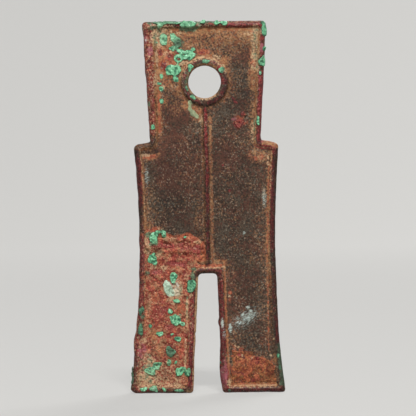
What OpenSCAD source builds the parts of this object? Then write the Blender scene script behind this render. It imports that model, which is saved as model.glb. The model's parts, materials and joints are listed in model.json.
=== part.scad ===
// Two-legged bronze spade coin with a square head, a round string hole and raised rims on both faces,
// together with the mineral crusts that sit on its photographed face. Sizes are in millimetres.
// The part stands on its two foot ends: Z up the blade, X across it, the photographed face toward -Y.

/* [Head] */
// Overall length, from the foot ends to the top of the head
length = 58; // [52:0.5:64]
// Width of the head across its top
head_top_w = 19.4; // [18:0.1:21]
// Width of the head where it meets the shoulders
neck_w = 17.2; // [16:0.1:18.4]
// Length of the head, from its top down to the shoulders
head_len = 18.7; // [17:0.1:20]

/* [Blade] */
// Width across the shoulders
shoulder_w = 22.7; // [21.5:0.1:24]
// Fall of each shoulder, from the neck to its outer corner
shoulder_fall = 0.45; // [0.2:0.05:1]
// Width at the waist, the narrowest part of the blade
waist_w = 21.2; // [20:0.1:22.2]
// Height of the waist above the foot ends
waist_height = 23.5; // [20:0.5:27]

/* [Legs] */
// Width across both feet
foot_w = 24.3; // [23:0.1:26]
// Length of the legs, from the foot ends to the crotch
leg_len = 18.6; // [17:0.1:20]
// Width of the gap between the legs at the crotch
gap_top_w = 2.9; // [2.2:0.1:3.6]
// Width of the gap between the foot ends
gap_foot_w = 4.6; // [3.8:0.1:5.4]

/* [Corners] */
// Radius of the head and shoulder corners
corner_r = 0.6; // [0.3:0.05:0.9]
// Radius of the foot corners
foot_r = 0.45; // [0.3:0.05:0.7]
// Radius of the two inner corners of the crotch
crotch_r = 0.6; // [0.3:0.05:0.8]
// Radius in the angle between head and shoulder
neck_r = 0.25; // [0.15:0.05:0.5]

/* [Relief] */
// Thickness over the rims
rim_t = 2.6; // [2.2:0.1:3.2]
// Thickness of the sunk web between the rims
web_t = 1.6; // [1.2:0.1:1.9]
// Thickness of the square band round the edge
band_t = 1.4; // [1:0.1:1.8]
// Width of the bevel from the band up to the rim crest
bevel_w = 0.4; // [0.25:0.05:0.6]
// Width of the flat crest of the rim
crest_w = 0.45; // [0.3:0.05:0.7]
// Width of the slope from the crest down to the web
slope_w = 0.2; // [0.1:0.05:0.4]

/* [String hole] */
// Diameter of the string hole
hole_d = 5.1; // [4.5:0.1:5.7]
// Distance of the hole centre below the top of the head
hole_drop = 9.45; // [8.5:0.05:10.5]
// Width of the bevelled lip at each end of the hole
lip_w = 0.2; // [0.1:0.05:0.3]
// Width of the flat crest of the collar
collar_crest_w = 0.55; // [0.4:0.05:0.8]
// Width of the outer slope of the collar
collar_slope_w = 0.25; // [0.15:0.05:0.4]
// Rise of the collar over the web
collar_rise = 0.42; // [0.25:0.01:0.6]

/* [Centre ridge] */
// Width of the ridge where it meets the web
ridge_foot_w = 0.85; // [0.6:0.05:1.2]
// Width of the crest of the ridge
ridge_crest_w = 0.4; // [0.2:0.05:0.55]
// Rise of the ridge over the web
ridge_rise = 0.35; // [0.2:0.01:0.5]

/* [Crusts] */
// Rise of the green nodules over what they sit on
nodule_rise = 0.24; // [0.15:0.01:0.4]
// Rise of the edge crusts over the rim crest
edge_rise = 0.14; // [0.08:0.01:0.2]
// Thickness of the thick red crust at the waist
waist_crust_t = 0.34; // [0.2:0.01:0.45]
// Thickness of the thin red sheets on the legs
sheet_t = 0.12; // [0.06:0.01:0.2]

/* [Hidden] */
$fn = 72;
eps = 0.01;

// Heights and half thicknesses that follow from the sizes above
neck_y = length - head_len;
shoulder_y = neck_y - shoulder_fall;
hole_y = length - hole_drop;
hole_r = hole_d / 2;
rim_z = rim_t / 2;
web_z = web_t / 2;
band_z = band_t / 2;
rim_w = bevel_w + crest_w + slope_w;
rim_mid = bevel_w + crest_w / 2;
rim_dip = web_t / 8;
rim_dip_w = slope_w * rim_dip / (rim_z - web_z);
collar_crest_r = hole_r + lip_w + collar_crest_w;
collar_foot_r = collar_crest_r + collar_slope_w;
collar_z = min(web_z + collar_rise, rim_z);
ridge_z = min(web_z + ridge_rise, collar_z - eps);

// Facets of each rounded corner, of each curved side and of each crust lump
corner_steps = 4;
side_steps = 10;
lump_sides = 14;
// Depth to which a crust lump reaches into the metal before the metal is cut out of it
sink = 0.3;
// Share of a lump's width at its foot and at its crown, and height of its brow
lump_foot = 0.96;
lump_crown = 0.62;
brow = 0.07;
// Depth, count and shift of the three waves that make the outline of a lump uneven
waves = [[0.12, 2, 97], [0.09, 3, 211], [0.05, 5, 53]];
// Smallest radius that a convex corner keeps when it is drawn inward
least_r = 0.3;

// Half width of the head, of the blade and of the gap at height y
function head_half(y) = (neck_w + (head_top_w - neck_w) * (y - neck_y) / head_len) / 2;
function above_waist(y) = pow((y - waist_height) / (shoulder_y - waist_height), 2);
function below_waist(y) = pow((waist_height - y) / waist_height, 2);
function blade_half(y) = y > waist_height
    ? (waist_w + (shoulder_w - waist_w) * above_waist(y)) / 2
    : (waist_w + (foot_w - waist_w) * below_waist(y)) / 2;
function gap_half(y) = (gap_foot_w + (gap_top_w - gap_foot_w) * y / leg_len) / 2;
function leg_mid(y) = (blade_half(y) + gap_half(y)) / 2;

// Corners of the right half of the outline, from the head down to the crotch: x, y and corner radius
right_side = [for (i = [1 : side_steps - 1]) shoulder_y * (1 - i / side_steps)];
right_half = concat(
    [
        [head_top_w / 2, length, corner_r],
        [neck_w / 2, neck_y, neck_r],
        [shoulder_w / 2, shoulder_y, corner_r]
    ],
    [for (y = right_side) [blade_half(y), y, 0]],
    [
        [foot_w / 2, 0, foot_r],
        [gap_foot_w / 2, 0, foot_r],
        [gap_top_w / 2, leg_len, crotch_r]
    ]
);
half_count = len(right_half);
left_half = [for (i = [half_count - 1 : -1 : 0]) [-right_half[i].x, right_half[i].y, right_half[i].z]];
corners = concat(right_half, left_half);
corner_count = len(corners);

// The outline runs clockwise, so its inside lies on the right of each edge
function flat(p) = [p.x, p.y];
function unit(v) = v / norm(v);
function right_of(u) = [u.y, -u.x];
function spun(v, a) = [v.x * cos(a) - v.y * sin(a), v.x * sin(a) + v.y * cos(a)];
function before(list, i) = list[(i + len(list) - 1) % len(list)];
function after(list, i) = list[(i + 1) % len(list)];
function edge_in(list, i) = unit(flat(list[i]) - flat(before(list, i)));
function edge_out(list, i) = unit(flat(after(list, i)) - flat(list[i]));

// One corner drawn inward by d along both of its edges
function drawn(p, u, v, d) = flat(p) + d * (right_of(u) + right_of(v)) / (1 + right_of(u) * right_of(v));
function drawn_r(p, u, v, d) = p.z == 0 ? 0 : cross(u, v) < 0 ? max(p.z - d, least_r) : p.z + d;
function drawn_corner(i, d) =
    let (u = edge_in(corners, i), v = edge_out(corners, i), q = drawn(corners[i], u, v, d))
    [q.x, q.y, drawn_r(corners[i], u, v, d)];

// One corner with its radius, as the points of its arc
function arc(p, u, v) =
    let (
        turn = atan2(cross(u, v), u * v),
        start = flat(p) - u * p.z * tan(abs(turn) / 2),
        centre = start + right_of(u) * (turn < 0 ? p.z : -p.z)
    )
    [for (k = [0 : corner_steps]) centre + spun(start - centre, turn * k / corner_steps)];
function rounded(list, i) = list[i].z == 0
    ? [flat(list[i])]
    : arc(list[i], edge_in(list, i), edge_out(list, i));

// The whole outline drawn inward by d
function outline(d) =
    let (list = [for (i = [0 : corner_count - 1]) drawn_corner(i, d)])
    [for (i = [0 : corner_count - 1]) each rounded(list, i)];

// Points of rings of equal counts, each given as height and clockwise outline
function ring_points(rings) = [for (r = rings) for (p = r[1]) [p.x, p.y, r[0]]];

// Triangles between ring a and ring b, each of n points
function ring_band(a, b, n) = [for (i = [0 : n - 1]) each [
    [a * n + i, a * n + (i + 1) % n, b * n + i],
    [a * n + (i + 1) % n, b * n + (i + 1) % n, b * n + i]
]];

// Closed frame through rings that run round its section
module frame_loft(rings) {
    n = len(rings[0][1]);
    count = len(rings);
    polyhedron(
        points = ring_points(rings),
        faces = [for (k = [0 : count - 1]) each ring_band(k, (k + 1) % count, n)]
    );
}

// Solid through rings from back to front, closed at both ends by fans round its middle
module solid_loft(rings) {
    n = len(rings[0][1]);
    last = len(rings) - 1;
    back = n * (last + 1);
    polyhedron(
        points = concat(ring_points(rings), [[0, 0, rings[0][0]], [0, 0, rings[last][0]]]),
        faces = concat(
            [for (i = [0 : n - 1]) [back, (i + 1) % n, i]],
            [for (k = [0 : last - 1]) each ring_band(k, k + 1, n)],
            [for (i = [0 : n - 1]) [back + 1, last * n + i, last * n + (i + 1) % n]]
        )
    );
}

// Stands a shape that was drawn flat, so that its front faces -Y
module stand() {
    rotate([90, 0, 0]) children();
}

// The rim round the whole outline, raised on both faces, drawn flat with the front toward +Z
module rim() {
    frame_loft([
        [-web_z + rim_dip, outline(rim_w + rim_dip_w)],
        [-rim_z, outline(bevel_w + crest_w)],
        [-rim_z, outline(bevel_w)],
        [-band_z, outline(0)],
        [band_z, outline(0)],
        [rim_z, outline(bevel_w)],
        [rim_z, outline(bevel_w + crest_w)],
        [web_z - rim_dip, outline(rim_w + rim_dip_w)]
    ]);
}

// The sunk web, which runs on inside the rim, together with the rim
module plate() {
    translate([0, 0, -web_z]) linear_extrude(web_t) polygon(outline(rim_mid));
    rim();
}

// The collar round the string hole, on both faces
module collar() {
    translate([0, hole_y, 0]) rotate_extrude() polygon([
        [0, -collar_z],
        [collar_crest_r, -collar_z],
        [collar_foot_r, -web_z],
        [collar_foot_r, web_z],
        [collar_crest_r, collar_z],
        [0, collar_z]
    ]);
}

// The centre ridge from the collar down to the crotch rim, on both faces
module ridge() {
    foot = leg_len + rim_mid;
    head = hole_y - collar_crest_r;
    translate([0, head, 0]) rotate([90, 0, 0]) linear_extrude(head - foot) polygon([
        [-ridge_foot_w / 2, -web_z],
        [-ridge_crest_w / 2, -ridge_z],
        [ridge_crest_w / 2, -ridge_z],
        [ridge_foot_w / 2, -web_z],
        [ridge_foot_w / 2, web_z],
        [ridge_crest_w / 2, ridge_z],
        [-ridge_crest_w / 2, ridge_z],
        [-ridge_foot_w / 2, web_z]
    ]);
}

// The string hole with a bevelled lip at each end
module string_hole() {
    translate([0, hole_y, -rim_t]) cylinder(r = hole_r, h = 2 * rim_t);
    for (side = [-1, 1]) translate([0, hole_y, side * (collar_z + eps)])
        rotate([side < 0 ? 0 : 180, 0, 0])
            cylinder(r1 = hole_r + lip_w + eps, r2 = hole_r, h = lip_w + eps);
}

// The whole casting, drawn flat
module coin() {
    difference() {
        union() {
            plate();
            collar();
            ridge();
        }
        string_hole();
    }
}

// Uneven outline of a crust lump: the share of its radius at angle a, different for each kind
function lobed(a, kind) = 1 + [for (w = waves) w[0] * sin(w[1] * a + w[2] * kind)] * [1, 1, 1];
function lump_ring(w, h, turn, kind, share) = [for (i = [0 : lump_sides - 1])
    let (a = -360 * i / lump_sides, r = share * lobed(a, kind) / 2)
    spun([w * r * cos(a), h * r * sin(a)], turn)];

// One crust lump at x and y, from depth low up to height top: width, height, turn and kind of outline
module lump(x, y, size, low, top, kind) {
    translate([x, y, 0]) solid_loft([
        [low, lump_ring(size[0], size[1], size[2], kind, lump_foot)],
        [top - brow, lump_ring(size[0], size[1], size[2], kind, 1)],
        [top, lump_ring(size[0], size[1], size[2], kind, lump_crown)]
    ]);
}

// Each crust list gives a place across, a place along, a width, a height and a turn of every lump.
// Top edge: across from the centre line, along down from the top of the head
top_edge_lumps = [
    [-6.9, 0.75, 1.0, 0.7, 0],
    [-5.8, 0.2, 4.2, 0.72, 0],
    [-2.4, 0.35, 2.5, 1.0, 0],
    [-0.1, 0.1, 1.0, 0.55, 0],
    [1.95, 0.3, 0.85, 0.9, 0],
    [3.1, 0.3, 1.15, 0.95, 0]
];
// Right head edge: across inward from the edge, along down from the top of the head
head_corner_lumps = [
    [0.5, 0.5, 1.35, 1.35, 0],
    [0.15, 1.8, 0.75, 1.7, 4]
];
head_side_lumps = [
    [0.05, 4.4, 0.55, 0.85, 0],
    [0.3, 6.2, 1.15, 1.9, 0],
    [0.55, 8.2, 0.65, 0.85, 0],
    [0.45, 15.7, 0.5, 1.3, 0]
];
// Left half of the head: across inward from the left edge, along down from the top of the head
head_field_lumps = [
    [3.2, 2.8, 1.3, 1.8, 10],
    [2.1, 3.3, 0.5, 0.5, 0],
    [4.65, 2.5, 1.05, 1.3, 0],
    [5.45, 3.35, 1.4, 1.4, 20],
    [4.6, 4.2, 1.45, 0.7, 0],
    [5.8, 4.7, 1.45, 0.75, -10],
    [7.1, 5.3, 1.5, 1.6, 30],
    [5.4, 5.8, 1.6, 1.25, 0],
    [4.4, 7.55, 2.15, 2.15, 0],
    [4.6, 9.1, 0.85, 0.85, 0]
];
left_rim_lumps = [
    [2.4, 8.65, 0.6, 0.85, 0],
    [2.0, 9.65, 0.55, 0.7, 0],
    [2.35, 10.4, 0.7, 0.7, 0],
    [2.1, 12.4, 0.75, 0.9, 0],
    [0.65, 16.4, 0.7, 0.65, 0]
];
// Collar: angle round the hole, distance from the middle of the collar crest
collar_lumps = [
    [85, 0, 1.3, 0.9, 0],
    [33, 0, 0.85, 0.85, 0],
    [135, 0.05, 1.1, 1.1, 0],
    [201, 0, 0.55, 0.7, 0],
    [232, 0, 1.0, 0.7, -40]
];
// Below the hole: across from the centre line, along down from the hole centre
hole_drip_lumps = [
    [-2.3, 4.2, 0.95, 1.1, 30],
    [-1.8, 4.8, 0.95, 1.1, 30],
    [-1.3, 5.4, 0.8, 0.85, 30]
];
// Red spot: across inward from the right edge, along up from the neck
head_cuprite_lumps = [
    [3.45, 2.6, 1.3, 1.45, 0],
    [2.9, 4.2, 0.7, 0.7, 0]
];
// Left waist: across inward from the left edge, along up from the crotch
waist_lumps = [
    [2.35, 5.6, 1.4, 1.75, 0],
    [3.3, 6.65, 1.0, 0.7, 0],
    [3.95, 6.25, 0.85, 0.85, 0],
    [2.2, 2.5, 1.3, 1.6, 0],
    [7.3, 5.7, 0.55, 0.55, 0]
];
// Legs: across outward or inward from the middle of the leg, along up from the foot end
left_leg_lumps = [
    [0.9, 17.9, 1.1, 1.4, 0],
    [1.45, 14.4, 1.15, 0.8, 0],
    [-2.5, 10.6, 0.65, 0.8, 0],
    [-0.9, 9.3, 1.25, 0.85, 0],
    [0.65, 12.7, 0.7, 0.8, 0],
    [1.5, 11.45, 1.6, 1.75, 0],
    [2.5, 10.7, 0.8, 0.7, 0],
    [1.05, 9.2, 0.6, 0.6, 0],
    [1.9, 8.4, 0.95, 1.05, -30],
    [0.8, 6.5, 1.4, 1.75, 0],
    [0.8, 4.75, 0.85, 0.95, 0],
    [1.85, 4.7, 0.55, 0.55, 0],
    [-1, 4.35, 1.15, 1.15, 0],
    [-2, 3.5, 1.75, 1.4, 0],
    [2.5, 3.35, 1.25, 1.1, 0]
];
leg_sheet_lumps = [
    [0.15, 16, 1.55, 2.3, 25],
    [1.3, 15.8, 1.5, 1.3, 0]
];
// Outer rim of the left leg: across inward from the edge, along up from the foot end
left_leg_rim_lumps = [
    [0.65, 12.85, 0.85, 1.75, 0],
    [0.7, 10, 1.0, 2.1, 0],
    [0.15, 3.4, 0.75, 4.2, -6]
];
// Rims beside the gap: across outward from the gap, along up from the foot end
left_gap_lumps = [
    [0.75, 16.7, 1.05, 1.9, 0],
    [0.9, 3.1, 0.7, 1.2, 0]
];
right_gap_lumps = [
    [0.1, 4.55, 0.6, 1.0, 0],
    [1.05, 0.45, 0.55, 0.5, 0]
];
left_foot_lumps = [
    [-2.95, 0.75, 1.3, 0.7, 0],
    [-1.3, 0.65, 1.3, 0.9, 0],
    [0.35, 0.55, 0.85, 0.75, 0],
    [2.6, 0.4, 1.9, 0.5, 0]
];
right_leg_rim_lumps = [
    [0.5, 5.8, 0.5, 0.9, 0],
    [0.2, 3.9, 0.75, 2.0, 6]
];
chalk_lumps = [
    [-2.95, 9.8, 0.55, 1.15, 0],
    [0.1, 11.85, 1.7, 0.9, 30],
    [-1.3, 10.9, 1.0, 0.7, 20],
    [-2.95, 15.1, 0.5, 0.5, 0]
];

// The web below height seat, which is cut out of the lumps that sit clear of the rims
module seat_block(seat) {
    translate([-foot_w, 0, seat - rim_t]) cube([2 * foot_w, length, rim_t]);
}

// Lumps on the web or on a sheet whose top lies at height seat
module field_lumps(list, seat, left, along) {
    for (i = [0 : len(list) - 1]) {
        at = list[i];
        y = along == "top" ? length - at[1] : along == "neck" ? neck_y + at[1] : leg_len + at[1];
        half = along == "crotch" ? blade_half(y) : head_half(y);
        lump(left * (half - at[0]), y, [at[2], at[3], at[4]], seat - sink, seat + nodule_rise, i);
    }
}

// Lumps on a leg, measured from the middle of that leg
module leg_lumps(list, seat, left, rise) {
    for (i = [0 : len(list) - 1]) {
        at = list[i];
        lump(left * leg_mid(at[1]) + at[0], at[1], [at[2], at[3], at[4]], seat - sink, seat + rise, i);
    }
}

// Lumps that wrap over the outer edge of the blade, or over the edge of the gap
module edge_lumps(list, left, gap) {
    for (i = [0 : len(list) - 1]) {
        at = list[i];
        x = gap ? gap_half(at[1]) + at[0] : blade_half(at[1]) - at[0];
        lump(left * x, at[1], [at[2], at[3], at[4]], -band_z / 2, rim_z + edge_rise, i);
    }
}

// Lumps that wrap over the right edge of the head
module head_edge_lumps(list) {
    for (i = [0 : len(list) - 1]) {
        at = list[i];
        y = length - at[1];
        lump(head_half(y) - at[0], y, [at[2], at[3], at[4]], -band_z / 2, rim_z + edge_rise, i);
    }
}

// Upper and lower border of the thick waist crust: across inward from the left edge, up from the crotch
waist_top = [
    [0.6, 6.6], [1.2, 6.7], [2.6, 7.1], [4.1, 6.6], [4.9, 6.0], [5.9, 5.7], [6.7, 6.2], [7.7, 6.3],
    [8.7, 5.9], [9.6, 5.2], [10.3, 4.4], [10.5, 3.6], [10.2, 2.7], [9.8, 2.1]
];
waist_low = [
    [7.8, 1.6], [6.3, 1.6], [4.7, 1.8], [3.4, 2.1], [2.3, 3.0], [1.4, 4.0], [0.6, 4.2]
];
function waist_point(p) = [p.x - blade_half(leg_len + p.y), leg_len + p.y];

// Thick wavy crust, before the metal is cut out of it
module waist_sheet() {
    translate([0, 0, web_z - sink]) linear_extrude(sink + waist_crust_t)
        polygon([for (p = concat(waist_top, waist_low)) waist_point(p)]);
}

// Points up the two sides of a leg, inside its rims
leg_rows = [for (i = [0 : side_steps]) rim_mid + (leg_len - rim_mid) * i / side_steps];
function outer_side(y) = blade_half(y) - rim_mid;
function inner_side(y) = gap_half(min(y, leg_len)) + rim_mid;

// Thin sheet over the left leg, from the foot rim up to the waist crust
module left_leg_sheet() {
    crotch = leg_len + rim_mid;
    under = leg_len + waist_low[0].y;
    shelf = leg_len + waist_low[4].y;
    translate([0, 0, web_z - sink]) linear_extrude(sink + sheet_t) polygon(concat(
        [for (y = leg_rows) [-outer_side(y), y]],
        [
            [-outer_side(shelf), shelf],
            waist_point(waist_low[4] + [0.3, 0.3]),
            waist_point(waist_low[2] + [0, 0.4]),
            waist_point(waist_low[0] + [0, 0.4]),
            [-ridge_foot_w, under],
            [-ridge_crest_w / 2, crotch]
        ],
        [for (i = [side_steps : -1 : 0]) [-inner_side(leg_rows[i]), leg_rows[i]]]
    ));
}

// Upper border of the thin sheet on the right foot: share of the way across the leg, up from the foot end
right_foot_top = [[0, 7.6], [0.2, 6.5], [0.45, 5.9], [0.7, 5.3], [0.9, 4.5], [1, 4.1]];
function leg_point(p) = [inner_side(p.y) + (outer_side(p.y) - inner_side(p.y)) * p.x, p.y];
module right_foot_sheet() {
    translate([0, 0, web_z - sink]) linear_extrude(sink + sheet_t) polygon(concat(
        [leg_point([0, rim_mid])],
        [for (p = right_foot_top) leg_point(p)],
        [leg_point([1, rim_mid])]
    ));
}

module bronze_casting() {
    color("#6b5240") stand() coin();
}

module top_edge_malachite() {
    color("#5fae86") stand() difference() {
        for (i = [0 : len(top_edge_lumps) - 1]) {
            at = top_edge_lumps[i];
            lump(at[0], length - at[1], [at[2], at[3], at[4]], -band_z / 2, rim_z + edge_rise, i);
        }
        plate();
    }
}

module head_corner_malachite() {
    color("#8fc3a6") stand() difference() {
        head_edge_lumps(head_corner_lumps);
        plate();
    }
}

module head_side_malachite() {
    color("#5fae86") stand() difference() {
        head_edge_lumps(head_side_lumps);
        plate();
    }
}

module head_field_malachite() {
    color("#5fbe90") stand() difference() {
        field_lumps(head_field_lumps, web_z, -1, "top");
        seat_block(web_z);
        collar();
    }
}

module left_rim_malachite() {
    color("#5fae86") stand() difference() {
        for (i = [0 : len(left_rim_lumps) - 1]) {
            at = left_rim_lumps[i];
            y = length - at[1];
            seat = at[0] < rim_w ? rim_z : web_z;
            lump(at[0] - head_half(y), y, [at[2], at[3], at[4]], seat - sink, seat + edge_rise, i);
        }
        plate();
    }
}

module collar_malachite() {
    middle = collar_crest_r - collar_crest_w / 2;
    color("#5fae86") stand() difference() {
        for (i = [0 : len(collar_lumps) - 1]) {
            at = collar_lumps[i];
            p = spun([middle + at[1], 0], at[0]);
            lump(p.x, hole_y + p.y, [at[2], at[3], at[4]], web_z - sink, collar_z + edge_rise, i);
        }
        seat_block(web_z);
        collar();
        translate([0, hole_y, 0]) cylinder(r = hole_r + lip_w, h = rim_t);
    }
}

module hole_drip_malachite() {
    color("#9cc4aa") stand() difference() {
        for (i = [0 : len(hole_drip_lumps) - 1]) {
            at = hole_drip_lumps[i];
            lump(at[0], hole_y - at[1], [at[2], at[3], at[4]], web_z - sink, web_z + nodule_rise, i);
        }
        seat_block(web_z);
    }
}

module head_cuprite() {
    color("#8a3a34") stand() difference() {
        field_lumps(head_cuprite_lumps, web_z, 1, "neck");
        seat_block(web_z);
    }
}

module waist_cuprite() {
    color("#a2553f") stand() difference() {
        waist_sheet();
        coin();
    }
}

module left_leg_cuprite() {
    color("#a8603f") stand() difference() {
        left_leg_sheet();
        coin();
        waist_sheet();
    }
}

module waist_malachite() {
    color("#5fbe90") stand() difference() {
        field_lumps(waist_lumps, web_z + waist_crust_t, -1, "crotch");
        seat_block(web_z);
        waist_sheet();
        left_leg_sheet();
    }
}

module left_leg_malachite() {
    color("#5fbe90") stand() difference() {
        leg_lumps(left_leg_lumps, web_z + sheet_t, -1, nodule_rise);
        seat_block(web_z + sheet_t);
    }
}

module leg_sheet_malachite() {
    color("#a9cdb4") stand() difference() {
        leg_lumps(leg_sheet_lumps, web_z + sheet_t, -1, nodule_rise / 2);
        seat_block(web_z + sheet_t);
    }
}

module left_leg_rim_malachite() {
    color("#6f8f78") stand() difference() {
        edge_lumps(left_leg_rim_lumps, -1, false);
        plate();
        left_leg_sheet();
    }
}

module gap_rim_malachite() {
    color("#5fae86") stand() difference() {
        union() {
            edge_lumps(left_gap_lumps, -1, true);
            edge_lumps(right_gap_lumps, 1, true);
        }
        plate();
        left_leg_sheet();
        right_foot_sheet();
    }
}

module left_foot_malachite() {
    color("#7fb894") stand() difference() {
        leg_lumps(left_foot_lumps, rim_z, -1, edge_rise);
        plate();
        left_leg_sheet();
    }
}

module right_leg_rim_malachite() {
    color("#6f8f78") stand() difference() {
        edge_lumps(right_leg_rim_lumps, 1, false);
        plate();
        right_foot_sheet();
    }
}

module right_foot_cuprite() {
    color("#a8603f") stand() difference() {
        right_foot_sheet();
        plate();
    }
}

module right_leg_chalk() {
    color("#c3c9bd") stand() difference() {
        leg_lumps(chalk_lumps, web_z, 1, nodule_rise / 2);
        seat_block(web_z);
    }
}

bronze_casting();
top_edge_malachite();
head_corner_malachite();
head_side_malachite();
head_field_malachite();
left_rim_malachite();
collar_malachite();
hole_drip_malachite();
head_cuprite();
waist_cuprite();
left_leg_cuprite();
waist_malachite();
left_leg_malachite();
leg_sheet_malachite();
left_leg_rim_malachite();
gap_rim_malachite();
left_foot_malachite();
right_leg_rim_malachite();
right_foot_cuprite();
right_leg_chalk();
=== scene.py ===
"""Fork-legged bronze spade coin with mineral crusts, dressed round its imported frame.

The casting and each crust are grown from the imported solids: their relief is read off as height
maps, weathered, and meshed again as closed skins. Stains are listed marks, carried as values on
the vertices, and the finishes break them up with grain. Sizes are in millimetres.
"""

import json
import logging
import math
from collections.abc import Iterable, Mapping, Sequence
from dataclasses import dataclass
from enum import Enum
from itertools import product
from typing import ClassVar

import bpy
import numpy as np
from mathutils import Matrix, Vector
from mathutils.bvhtree import BVHTree


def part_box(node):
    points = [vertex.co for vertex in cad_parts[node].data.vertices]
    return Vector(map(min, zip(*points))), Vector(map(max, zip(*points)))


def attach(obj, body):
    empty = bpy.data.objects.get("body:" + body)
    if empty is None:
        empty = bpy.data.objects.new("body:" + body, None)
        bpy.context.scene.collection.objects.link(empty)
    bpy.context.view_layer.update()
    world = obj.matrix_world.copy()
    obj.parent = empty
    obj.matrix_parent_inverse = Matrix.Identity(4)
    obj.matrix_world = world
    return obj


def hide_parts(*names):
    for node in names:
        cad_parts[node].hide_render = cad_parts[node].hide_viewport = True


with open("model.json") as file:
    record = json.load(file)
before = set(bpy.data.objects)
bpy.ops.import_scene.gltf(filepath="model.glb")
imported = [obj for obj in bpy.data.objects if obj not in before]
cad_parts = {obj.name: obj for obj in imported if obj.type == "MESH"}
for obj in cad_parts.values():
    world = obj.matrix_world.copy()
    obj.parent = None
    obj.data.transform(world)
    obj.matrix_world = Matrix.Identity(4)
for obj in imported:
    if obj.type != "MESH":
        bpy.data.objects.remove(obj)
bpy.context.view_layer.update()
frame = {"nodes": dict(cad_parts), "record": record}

LOG = logging.getLogger("spade_coin")
MM = 0.001
NO_LENGTH = 1e-12
CASTING = "bronze_casting"
BODY = "root"
MAP_STEP = 0.09
CRUST_SEED = 100
GROWN_IN_ORDER = ("cuprite", "chalk", "pale_malachite", "malachite")

Array = np.ndarray
Colour = tuple[float, float, float, float]
Ramp = tuple[float, float]


def tint(red: int, green: int, blue: int) -> Colour:
    """Turn a colour as a screen shows it into the light that a shader takes.

    Args:
        red, green, blue: The colour, each from 0 to 255.

    Returns:
        The same colour in linear light, with full opacity.
    """
    parts = [channel / 255 for channel in (red, green, blue)]
    linear = [p / 12.92 if p <= 0.04045 else ((p + 0.055) / 1.055) ** 2.4 for p in parts]
    return (*linear, 1.0)


def ease(values: Array, low: float, high: float) -> Array:
    """Rise smoothly from 0 at low to 1 at high.

    Args:
        values: What is compared with the two ends.
        low, high: The ends of the rise.

    Returns:
        Values from 0 to 1.
    """
    part = np.clip((values - low) / (high - low), 0.0, 1.0)
    return part * part * (3.0 - 2.0 * part)


def fade(distance: Array) -> Array:
    """Fall from 1 to 0 across a mark's border, which lies at distance 1 and has half strength."""
    return np.clip(1.5 - distance, 0.0, 1.0)


def band(values: Array, middle: float, half: float) -> Array:
    """Mark a band of values round its middle, out to its half width."""
    return fade(np.abs(values - middle) / half)


def trail(values: Array, low: float, high: float, length: float) -> Array:
    """Rise from 0 at low to 1 at high, and die away beyond it.

    Args:
        values: What is compared with the two ends.
        low, high: The ends of the rise.
        length: How far beyond it the values fall to about a third.

    Returns:
        Values from 0 to 1.
    """
    return np.exp(-np.maximum(values - high, 0.0) / length) * ease(values, low, high)


def turned(x: Array, z: Array, degrees: float) -> tuple[Array, Array]:
    """Give places along axes that are turned on the face.

    Args:
        x, z: The places.
        degrees: How far the axes are turned, up from the x axis.

    Returns:
        The places along the turned x axis and along the turned z axis.
    """
    angle = math.radians(degrees)
    return x * math.cos(angle) + z * math.sin(angle), z * math.cos(angle) - x * math.sin(angle)


def off_segment(x: Array, z: Array, start: Sequence[float], end: Sequence[float]) -> Array:
    """Measure the distance from a straight segment of the face.

    Args:
        x, z: Where to measure from.
        start, end: The segment's ends.

    Returns:
        The distance at each place.
    """
    run, rise = end[0] - start[0], end[1] - start[1]
    square = max(run * run + rise * rise, NO_LENGTH)
    part = np.clip(((x - start[0]) * run + (z - start[1]) * rise) / square, 0.0, 1.0)
    return np.hypot(x - start[0] - part * run, z - start[1] - part * rise)


def round_max(first: Array, second: Array, radius: float) -> Array:
    """Join two distance fields where both bound the solid, with a rounded edge.

    Args:
        first, second: The two fields, less than zero inside.
        radius: How far the rounding reaches on each side of the edge.

    Returns:
        The joined field.
    """
    near = np.maximum(radius - np.abs(first - second), 0.0)
    return np.maximum(first, second) + near * near / (4.0 * radius)


def soften(values: Array, radius: float) -> Array:
    """Blur a map.

    Args:
        values: The map.
        radius: The blur's spread, in cells.

    Returns:
        The blurred map, of the same shape.
    """
    reach = math.ceil(3.0 * radius)
    steps = np.arange(-reach, reach + 1)
    weights = np.exp(-0.5 * (steps / radius) ** 2)
    weights /= weights.sum()
    for axis in range(values.ndim):
        border = [(reach, reach) if a == axis else (0, 0) for a in range(values.ndim)]
        wide = np.pad(values, border, mode="edge")
        count = values.shape[axis]
        parts = (np.take(wide, range(i, i + count), axis) * w for i, w in enumerate(weights))
        values = sum(parts)
    return values


def hollows(face: Array, reach: float, depth: float) -> Array:
    """Find where a face lies lower than what is round it.

    Args:
        face: The face's height map.
        reach: How far round each place is compared, in cells.
        depth: The hollow that counts in full.

    Returns:
        Values from 0 on open ground to 1 in a hollow.
    """
    return np.clip((soften(face, reach) - face) / depth, 0.0, 1.0)


def knobs(noise: Array, steep: float = 2.4, drop: float = 0.7) -> Array:
    """Turn noise into round knobs with creases between them."""
    return steep * np.abs(noise) - drop


def ridges(noise: Array, steep: float = 2.4, top: float = 0.9) -> Array:
    """Turn noise into sharp ridges with valleys between them."""
    return top - steep * np.abs(noise)


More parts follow.
